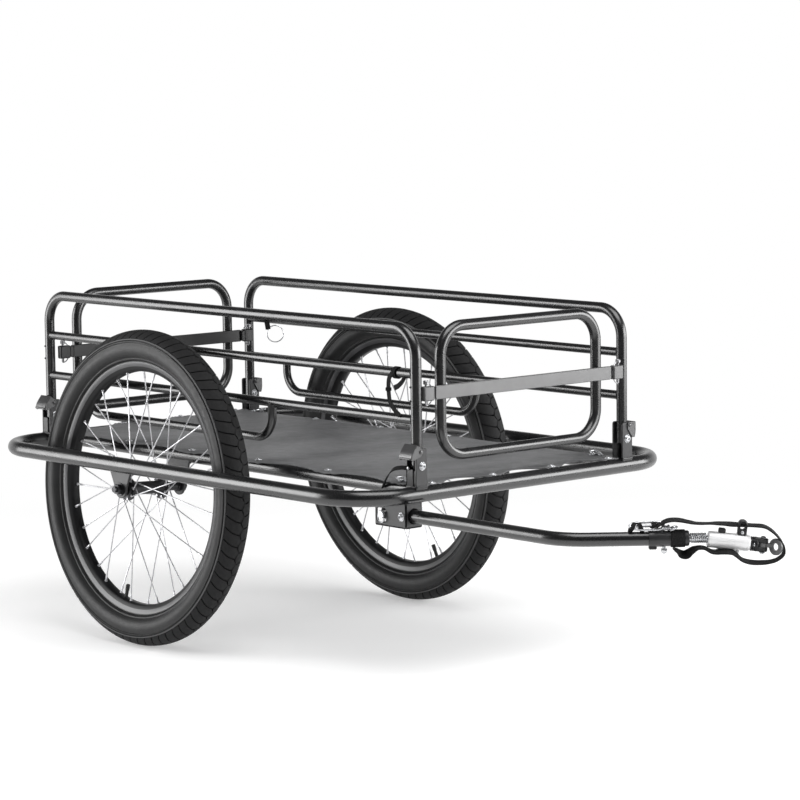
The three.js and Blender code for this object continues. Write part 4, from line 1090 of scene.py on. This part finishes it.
for side in sides:
    place, body, valve = wheel_matrix(side), f"wheel_{side}", valve_angles[side]
    piece(f"tyre_rubber_{side}", tyre.placed(place), rubber, body, "tyre_rubber", f"tyre_{side}", crease=32)
    stem = turned(stem_profile, polar(rim_inner + 3, valve, 0), polar(-1, valve, 0), 24)
    piece(f"valve_{side}", stem.placed(place), tube_rubber, body, "tube_rubber", f"inner_tube_{side}")
    piece(f"rim_ring_{side}", revolved(full_rim).placed(place), rim_paint, body, "rim_black", f"rim_{side}")
    # These rings are the painted highlight on the flanges, not a part of their own.
    rings = revolved(flange_highlight_ring) + revolved([(r, -y) for r, y in flange_highlight_ring])
    piece(f"rim_flange_highlights_{side}", rings.placed(place), flange_highlight_paint, body, "rim_black")
    shell = revolved(hub_half + flipped(hub_half[1:]), 96).placed(place)
    piece(f"hub_shell_{side}", shell, axle_black, body, "zinc_steel", f"hub_and_spokes_{side}")
    wires, nipples = [], []
    for i in range(spoke_count):
        flange_side, lean = (1 if i % 2 else -1), (1 if i % 4 < 2 else -1)
        rim_angle = valve + (i + 0.5) * 2 * math.pi / spoke_count
        hub_angle = rim_angle + lean * sweep_angle
        seat = polar(seat_radius, hub_angle, flange_side * flange_y + lean * stagger)
        rim_seat = polar(rim_inner + 1, rim_angle, flange_side * rim_spread)
        aim = unit(rim_seat - seat)
        head = seat - (0, lean * (stagger + 2.6), 0)
        spoke_line = [head, seat - (0, lean * 1.2, 0), seat + aim * 0.7, seat + aim * 2.2, rim_seat]
        wires.append(tube(spoke_line, spoke_radius, 10))
        wires.append(turned(head_profile, head, (0, -lean, 0), 12))
        nipples.append(turned(nipple_profile, rim_seat - aim * nipple_length, aim, 12))
    piece(f"spokes_{side}", joined(wires).placed(place), spoke_steel, body, "zinc_steel")
    piece(f"nipples_{side}", joined(nipples).placed(place), spoke_steel, body, "zinc_steel")

# Tow arm: a square steel box welded under the loop's front right corner takes the end of a
# bent tube. A cross bolt and a quick-release pin hold the tube in the box.
tow_radius, tow_side, tow_box_top = 10.2, loop_side - 99.8, loop_z - loop_radius + 3.6
tow_z, box_height, box_width, box_length = tow_box_top - 22, 40, 33, 70
box_front = loop_front + 8
box_rear = box_front - box_length
box_wall, tow_bend_x, tow_bend_radius, tow_bend = 3, loop_front + 325.3, 80, math.radians(50)
arm_end = 145
arm_direction = np.array((math.cos(tow_bend), math.sin(tow_bend), 0))
arm_side = np.array((-math.sin(tow_bend), math.cos(tow_bend), 0))
arm_corner = np.array((tow_bend_x, -tow_side, tow_z))


def arm_place(distance, out=0.0, up=0.0):
    """A place beside the tow arm's last run, a distance on from its bend's corner."""
    return arm_corner + arm_direction * distance + arm_side * out + z_axis * up


box_low = tow_box_top - box_height
near_y, far_y = -tow_side - box_width / 2, -tow_side + box_width / 2
front_outline = rounded((near_y, box_low), (far_y, tow_box_top), 3)
arm_hole = circle(-tow_side, tow_z, tow_radius + 1.3, 40)
box = across_x(box_front - box_wall / 2, front_outline, box_wall, 0.8, holes=[arm_hole])
side_outline = rounded((box_rear, box_low), (box_front, tow_box_top), 2.5)
window = rounded((box_rear + 4, tow_z - 12), (box_rear + 24, tow_z + 9), 3)
box = box + across_y(near_y + box_wall / 2, side_outline, box_wall, 0.8, holes=[window])
box = box + across_y(far_y - box_wall / 2, side_outline, box_wall, 0.8)
level_outline = rounded((box_rear, near_y), (box_front, far_y), 2)
for z in (box_low + box_wall / 2, tow_box_top - box_wall / 2):
    box = box + slab(level_outline, box_wall, 0.8).placed(plane((0, 0, z), x_axis, y_axis))
for x, z in ((loop_front - 13.5, loop_z - 9), (loop_front + 12.2, loop_z - 8.2)):
    box = box + rough_bead([(x, y, z) for y in np.linspace(near_y, far_y, 20)], 1.9, 0.3)
piece("tow_box", box, plate_black, "frame", "plate_paint", "tow_bracket")
arm_line = [(box_front - 64, -tow_side, tow_z), arm_corner, arm_place(arm_end)]
tubing("tow_arm", tube(bent(arm_line, tow_bend_radius, steps=26), tow_radius, 44), "frame", "tow_tube")
bolt_x, pin_x = box_front - 10, box_front - 52
bolt_near = np.array((bolt_x, near_y, tow_z))
bolt_far = np.array((bolt_x, far_y, tow_z))
bolt = tube([bolt_near, bolt_far], 4, 20)
bolt = bolt + bolt_head(bolt_near, -y_axis, 5.6, 3.2) + lock_nut(bolt_far, y_axis, 6, 3)
fitting("tow_cross_bolt", bolt, "frame", "tow_bolt")
pin_start = np.array((pin_x, near_y - 0.3, tow_z))
lock_pin = tube([(pin_x, far_y + 2, tow_z), (pin_x, near_y - 1, tow_z)], 3, 20)
lock_pin = lock_pin + turned([(0, 5.2), (0.8, 6), (4.2, 6), (5, 5.2)], pin_start, -y_axis, 28)
pull_radius = 6.4
pull_ring = [
    pin_start + (pull_radius * math.sin(a), -2.6 - 1.2 * abs(math.sin(a)), -5.5 - pull_radius * math.cos(a))
    for a in full_turn(28)
]
lock_pin = lock_pin + tube(pull_ring, 1.0, 10, closed=True)
fitting("tow_pin", lock_pin, "lock_pin", "tow_lock_pin")

# Coupler: a clamped sleeve on the arm's end, a coil spring over a steel cable, a turned
# aluminium barrel, and a black knuckle whose fork holds the grey hitch plate.
sleeve_start, sleeve_end, sleeve_radius = 121, 179, 11.8
spring_space, spring_radius, spring_wire, spring_turns, coil_places = 26, 7.6, 1.15, 8, 24
coil_radius = spring_radius - spring_wire
flex = arm_place(sleeve_end + spring_space / 2)
droop = math.radians(7)
coupler_along = arm_direction * math.cos(droop) - z_axis * math.sin(droop)
coupler_up = np.cross(coupler_along, arm_side)
barrel_start = spring_space / 2 + coil_radius * math.sin(droop)
barrel_length, barrel_radius = 61, 12


def coupler_place(distance, out=0.0, up=0.0):
    """A place beside the drooping coupler's line, a distance on from the flex point."""
    return flex + coupler_along * distance + arm_side * out + coupler_up * up


sleeve_profile = [
    (sleeve_start, 10.6), (sleeve_start + 0.8, sleeve_radius), (sleeve_start + 20, sleeve_radius),
    (sleeve_start + 21, sleeve_radius - 0.5), (sleeve_end - 3, sleeve_radius - 0.5),
    (sleeve_end - 1, sleeve_radius - 0.9), (sleeve_end, sleeve_radius - 2), (sleeve_end, 5.2),
]
lug = rounded((sleeve_start + 0.5, -sleeve_radius - 3.5), (sleeve_start + 12, -sleeve_radius + 2), 2.2)
sleeve = turned(sleeve_profile, arm_corner, arm_direction, 44)
sleeve = sleeve + slab(lug, 9, 1.2).placed(plane(arm_corner, arm_direction, z_axis))
piece("sleeve_shell", sleeve, plate_black, "frame", "plate_paint", "coupler_sleeve")
clamp_at = arm_place(sleeve_start + 22.5, 0, -sleeve_radius + 0.3)
clamp_screw = tube([clamp_at, clamp_at - (0, 0, 4)], 2.4, 16)
fitting("sleeve_screw", clamp_screw + lock_nut(clamp_at - (0, 0, 3), -z_axis, 4.8, 6.0), "frame")
coil_steps = spring_turns * coil_places
coil = []
for i in range(coil_steps + 1):
    turn = 2 * math.pi * i / coil_places
    distance = sleeve_end + spring_wire + 0.3 + i / coil_steps * (spring_space - 2 * spring_wire - 0.6)
    coil.append(arm_place(distance, coil_radius * math.sin(turn), -coil_radius * math.cos(turn)))
cable = tube([arm_place(sleeve_end - 1), coupler_place(barrel_start + 1)], 5.2, 24)
spring = fitting("coil_spring", tube(coil, spring_wire, 14) + cable, None, "coupler_spring")

alloy = Finish("turned_alloy")
lathe_place = alloy.along(alloy.place, coupler_along) * 4200.0
lathe_noise = {"W": lathe_place, "Scale": 1.0, "Detail": 3.0}
lathe_marks = alloy.node("TexNoise", {"noise_dimensions": "1D"}, lathe_noise, "Fac")
alloy.surface({
    "Base Color": alloy.mix(alloy.noise(60, 3), grey(0.93), grey(0.84, 0.85)),
    "Metallic": 0.2,
    "Roughness": 0.32 + 0.12 * lathe_marks,
}, lathe_marks, 0.00003)
plastic = Finish("clamp_plastic")
grain = plastic.noise(900, 3, 0.6)
plastic.surface({
    "Base Color": plastic.mix(plastic.noise(40, 3), grey(0.014, 0.015), grey(0.026, 0.027)),
    "Roughness": 0.42 + 0.16 * grain,
    "Specular IOR Level": 0.4,
}, grain, 0.00012)
barrel_profile = [
    (0, 5), (0, 10.6), (1.2, 11.6), (barrel_length * 0.5, 11.9), (barrel_length - 4, 12),
    (barrel_length - 1.6, 11.2), (barrel_length, 9.6), (barrel_length, 4),
]
barrel = turned(barrel_profile, coupler_place(barrel_start), coupler_along, 48)
piece("barrel", barrel, alloy, "coupler", "barrel_alloy", "coupler_barrel")
fittings = []
for distance, radius, length in ((19, 4.6, 4.0), (43, 3.6, 7.0)):
    at = coupler_place(barrel_start + distance, 0, -barrel_radius + 0.6)
    fittings.append(lock_nut(at, -coupler_up, radius, length))
stop = rounded((barrel_start + 14, barrel_radius - 2), (barrel_start + 24, barrel_radius + 6), 2)
keeper_low, keeper_high = (barrel_start + 41, barrel_radius - 3), (barrel_start + 54, barrel_radius + 21)
keeper = rounded(keeper_low, keeper_high, [2, 2, 6, 6])
keeper_hole = rounded((barrel_start + 44, barrel_radius + 7), (barrel_start + 51, barrel_radius + 17), 3)
keeper = slab(stop, 9, 1.2) + slab(keeper, 12, 1.6, holes=[keeper_hole])
keeper = keeper.placed(plane(flex, coupler_along, coupler_up))
piece("barrel_keeper", keeper, plastic, "coupler", "plate_paint")
rivet_at = coupler_place(barrel_start + 47.5, -6, barrel_radius + 3)
fittings.append(pan_head(rivet_at, -arm_side, 2.4, 1.4, 0.7))
fitting("barrel_screws", joined(fittings), "coupler")
knuckle_start = barrel_start + barrel_length + 0.3
knuckle_end = knuckle_start + 8
pivot = knuckle_end + 10
ridge_pitch, ridge_section = 2.4, ((0.2, 9.2), (0.7, 9.2 + 1.4), (1.6, 9.2 + 1.4), (2.1, 9.2))
ridges = [(ridge_pitch * i + step, radius) for i in range(4) for step, radius in ridge_section]
knuckle_profile = [(0, 6), (0, 8.8), *ridges, (10.5, 8.6), (10.5, 5)]
knuckle = turned(knuckle_profile, coupler_place(knuckle_start), coupler_along, 36)
ear_half, ear_thickness, ear_lift = 7.5, 6.2, 3.3 + 3.1
ear_angles = np.linspace(-math.pi / 2 + 0.2, math.pi / 2 - 0.2, 14)
ear = [(knuckle_end - 3, -ear_half), (pivot, -ear_half)]
ear += [(pivot + ear_half * math.cos(a), ear_half * math.sin(a)) for a in ear_angles]
ear += [(pivot, ear_half), (knuckle_end - 3, ear_half)]
for toward in (-1, 1):
    level = plane(flex + coupler_up * toward * ear_lift, coupler_along, arm_side)
    knuckle = knuckle + slab(ear, ear_thickness, 1.0).placed(level)
piece("knuckle_fork", knuckle, plate_black, "knuckle", "plate_paint", "coupler_knuckle")
bolt_low, bolt_high = coupler_place(pivot, 0, -9.4), coupler_place(pivot, 0, 9.4)
bolt = tube([bolt_low, bolt_high], 2.5, 18)
bolt = bolt + bolt_head(bolt_high, coupler_up, 4.0, 2.2) + lock_nut(bolt_low, -coupler_up, 4.2, 3.2)
bolt = bolt + pan_head(coupler_place(knuckle_start + 4.5, -9.2, 0), -arm_side, 2.4, 1.4, 0.8)
fitting("knuckle_bolts", bolt, "knuckle")
plate_reach, plate_offset, plate_radius, hole_radius = 11.5, 10, 12, 5.2
plate_ahead = unit(coupler_along * math.cos(-tow_bend) + arm_side * math.sin(-tow_bend))
hitch_hole = circle(plate_offset, 0, hole_radius, 28)
hitch = slab(circle(plate_offset, 0, plate_radius, 40), 4, 0.7, holes=[hitch_hole])
hitch = hitch.placed(plane(coupler_place(pivot + plate_reach), plate_ahead, coupler_up))
eye_profile = [(-3, 2.6), (-3, 6.2), (-2.6, 6.5), (2.6, 6.5), (3, 6.2), (3, 2.6)]
hitch = hitch + turned(eye_profile, coupler_place(pivot), coupler_up, 32, closed=True)
neck = slab(rounded((pivot + 4, -4), (pivot + plate_reach + 3, 4), 1.5), 6, 0.7)
hitch = hitch + neck.placed(plane(flex, coupler_along, arm_side))
hitch_grey = powder_coat("hitch_grey", grey(0.10, 0.102), 0.36, 0.000015)
piece("hitch_eye_plate", hitch, hitch_grey, "hitch", "bar_paint", "hitch_plate")

# Safety strap: a band of woven webbing, sewn round the sleeve, that runs loosely over the
# coupler, round the hitch and back beneath it. A plated snap hook with three bindings of the
# same webbing lies along the arm at the strap's start.
webbing = Finish("webbing")
rib_pitches = (0.0022, 0.0016)
rib_places = [webbing.along(webbing.place, axis) for axis in (arm_direction, arm_side)]
ribs = [(place * (2 * math.pi / pitch)).sine() for place, pitch in zip(rib_places, rib_pitches)]
ribbed = ribs[0] * ribs[1]
worn = webbing.band(ribbed + webbing.noise(300, 3), -0.2, 1.4)
webbing.surface({
    "Base Color": webbing.mix(worn, grey(0.004, 0.0042), grey(0.014, 0.0145)),
    "Roughness": 0.72 + 0.12 * webbing.noise(400, 2),
    "Specular IOR Level": 0.22,
}, ribbed, 0.0003)
band_section = [(-1, -0.5), (-0.94, -1), (-0.4, -1), (0.4, -1), (0.94, -1), (1, -0.5)]
band_section += [(-a, -b) for a, b in band_section]


def ribbon(places, width, thickness, side, rolls=None, steps=6):
    """A flat band along places, which are joined by a smooth curve, with its width toward side."""
    places = np.array(places, float)
    padded = np.vstack([2 * places[0] - places[1], places, 2 * places[-1] - places[-2]])
    line, turns = [], []
    rolls = np.zeros(len(places)) if rolls is None else np.array(rolls, float)
    for i in range(len(places) - 1):
        p0, p1, p2, p3 = padded[i:i + 4]
        for t in np.linspace(0, 1, steps, endpoint=(i == len(places) - 2)):
            square = (2 * p0 - 5 * p1 + 4 * p2 - p3) * t ** 2
            cube = (3 * p1 - p0 - 3 * p2 + p3) * t ** 3
            line.append(0.5 * (2 * p1 + (p2 - p0) * t + square + cube))
            turns.append(rolls[i] + (rolls[i + 1] - rolls[i]) * t * t * (3 - 2 * t))
    line = np.array(line)
    half, rise = width / 2, thickness / 2
    corners = []
    for i, place in enumerate(line):
        direction = unit(line[min(i + 1, len(line) - 1)] - line[max(i - 1, 0)])
        wide = unit(side - direction * (np.array(side) @ direction))
        over = np.cross(direction, wide)
        cosine, sine = math.cos(turns[i]), math.sin(turns[i])
        wide, over = wide * cosine + over * sine, over * cosine - wide * sine
        corners += [place + wide * half * a + over * rise * b for a, b in band_section]
    return Form(corners, ring_faces(len(line), len(band_section), False))


strap_width, strap_thickness = 20, 2.0
strap_points = [
    (131, -3, 17), (141, -2, 23), (152, -1, 26.5), (166, 0, 26), (180, 0, 23), (192, 0, 21),
    (208, 1, 20.5), (224, 2, 20), (240, 3, 18.5), (254, 3, 17.5), (270, 2, 16.5), (286, 0, 15),
    (297, -2, 9), (306, -4, 0), (313, -6, -11), (313, -8, -23), (306, -9, -30), (296, -9, -34),
    (282, -9, -35.5), (266, -10, -34.5), (254, -13, -30.5), (246, -15, -24), (238, -15, -18.5),
    (226, -14, -18), (212, -10, -18.5), (201, -6, -14), (192, -4, -13.5), (183, -3, -17.5),
    (175, -3, -23), (168, -2, -22.5), (162, -2, -17.5), (156, -1, -13.6),
]
roll_shares = [0, 0.05, 0.1, 0.12, 0.08, 0.0, -0.03, 0.08, 0.16, 0.12, 0.06, 0.1, 0.12, 0.1, 0.05, 0]
roll_shares += [0, -0.05, -0.12, -0.16, -0.14, -0.2, -0.25, -0.2, -0.15, -0.1, -0.1, -0.3, -0.5]
roll_shares += [-0.45, -0.2, 0]
strap_line = [arm_place(*place) for place in strap_points]
strap = ribbon(strap_line, strap_width, strap_thickness, arm_side, roll_shares)
wrap_inside, wrap_outside, wrap_start = 11.85, 12.8, 153
wrap_profile = [(0, wrap_inside), (0, 12.5), (0.4, wrap_outside), (strap_width - 0.4, wrap_outside)]
wrap_profile += [(strap_width, 12.5), (strap_width, wrap_inside)]
wrap = turned(wrap_profile, arm_place(wrap_start), arm_direction, 44, closed=True)
strap_piece = piece("strap_webbing", strap + wrap, webbing, None, "webbing", "safety_strap")
bend_start = tuple((arm_place(sleeve_end - 6) * mm + (axle_x, 0, 0)).tolist())
bend_end = tuple((coupler_place(barrel_start + 6) * mm + (axle_x, 0, 0)).tolist())
for band in (spring, strap_piece):
    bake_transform(band)

hook_middle, hook_half, hook_bulge, hook_z = 119, 24, 7.5, 15.5
hook_line = []
for a in full_turn(56):
    reach = hook_half * math.copysign(abs(math.cos(a)) ** 0.7, math.cos(a))
    width = hook_bulge * (1 + 0.25 * math.cos(a)) * math.copysign(abs(math.sin(a)) ** 0.8, math.sin(a))
    hook_line.append(arm_place(hook_middle + reach, width * 0.75, hook_z + 3 + width * 0.6))
gate_line = [arm_place(hook_middle + t, hook_bulge * 0.55, hook_z + 2.2) for t in (-15, -8, 0, 8, 15)]
swivel = [(0, 1.5), (0, 4.2), (1, 4.8), (4, 4.8), (5, 3.4), (8, 3.0), (9, 4.4), (11, 4.4), (12, 2.5)]
ring_line = [
    arm_place(hook_middle + hook_half + 13 + 6 * math.cos(a), 9 * math.sin(a), hook_z - 1 + 2 * math.cos(a))
    for a in full_turn(32)
]
snap_hook = tube(hook_line, 2.2, 14, closed=True) + tube(gate_line, 1.9, 14)
snap_hook = snap_hook + turned(swivel, arm_place(hook_middle + hook_half - 3, 0, hook_z), arm_direction, 24)
fitting("snap_hook", snap_hook + tube(ring_line, 1.6, 12, closed=True), "frame")
bindings = []
for distance, lean in ((hook_middle - 21, 0.5), (hook_middle - 9, -0.4), (hook_middle + 9, 0.3)):
    loop_line = [
        arm_place(distance + lean * 6 * math.sin(a), 7.0 * math.cos(a), hook_z + 1.5 + 6.0 * math.sin(a))
        for a in np.linspace(0, 2 * math.pi, 25)
    ]
    bindings.append(ribbon(loop_line, 6, 1.4, arm_direction, steps=2))
piece("snap_hook_bindings", joined(bindings), webbing, "frame", "webbing")

# Tethers: a thin strap looped over the right panel's upper rail and knotted beneath it, a wire
# ring on a short hanger under the same panel's hoop, and a strap from the front right bracket
# to the deck rail.
tether_width, tether_thickness, tether_x, rail_turn = 8, 1.6, 554, 8.6
near = -post_side
around = [
    (tether_x, near + rail_turn * math.cos(a), upper_z + rail_turn * math.sin(a))
    for a in np.linspace(0.3, 2 * math.pi - 0.5, 20)
]
fall = [(0, -8.8, 1), (-8, -9.4, -9), (-9, -9.6, -27), (-6, -9.2, -45), (5, -8.8, -57), (14, -8.6, -63)]
tail = [(20, -4, -6.5), (21, -8, -11), (14, -10, -18), (5, -10, -22)]
tether = ribbon(around, tether_width, tether_thickness, x_axis, steps=2)
for steps_down in (fall, tail):
    places = np.array((tether_x, near, upper_z)) + steps_down
    tether = tether + ribbon(places, tether_width, tether_thickness, x_axis)
knot_profile = [(-3.5, 3), (-2, 4.6), (2, 4.6), (3.5, 3)]
tether = tether + turned(knot_profile, (tether_x - 9, near - 9.8, upper_z - 25), z_axis, 16)
piece("side_tether", tether, webbing, "side_right", "webbing")
ring_tip = np.array((249, near, hoop_top - post_radius - 13))
ring_turn, ring_radius, ring_wire_radius = unit((0.66, 0.75, 0)), 13, 0.9
hanger = [ring_tip + (-4, 0, 14), ring_tip + (-2, 0, 7), ring_tip + (0, 0, -1)]
piece("ring_hanger", ribbon(hanger, 8, 3, ring_turn), webbing, "side_right", "webbing")
ring_middle = ring_tip + ring_turn * 11 - z_axis * 8
wire_ring = [
    ring_middle + ring_radius * (ring_turn * math.cos(a) + z_axis * math.sin(a))
    for a in full_turn(40)
]
fitting("ring_on_tether", tube(wire_ring, ring_wire_radius, 10, closed=True), "side_right")
lead_start = np.array((post_x["front"] - 4, 0, hinge_z - 3))
lead = lead_start + [
    (0, -232.6, 0), (-15, -235, -0.5), (-32, -234, -4.5), (-48, -229, -13.5),
    (-61, -224, -23.5), (-71, -219, -31.5), (-77, -216.6, -39),
]
lead_twist = (0.5, 0.3, 0.8)
piece("bracket_tether", ribbon(lead, 6.5, 1.5, lead_twist), webbing, "frame", "webbing")
rivet = turned([(0, 2.4), (1.2, 2.2), (1.8, 1.0)], lead_start - (0, 233.2, 0), -y_axis, 16)
fitting("bracket_tether_rivet", rivet, "frame")
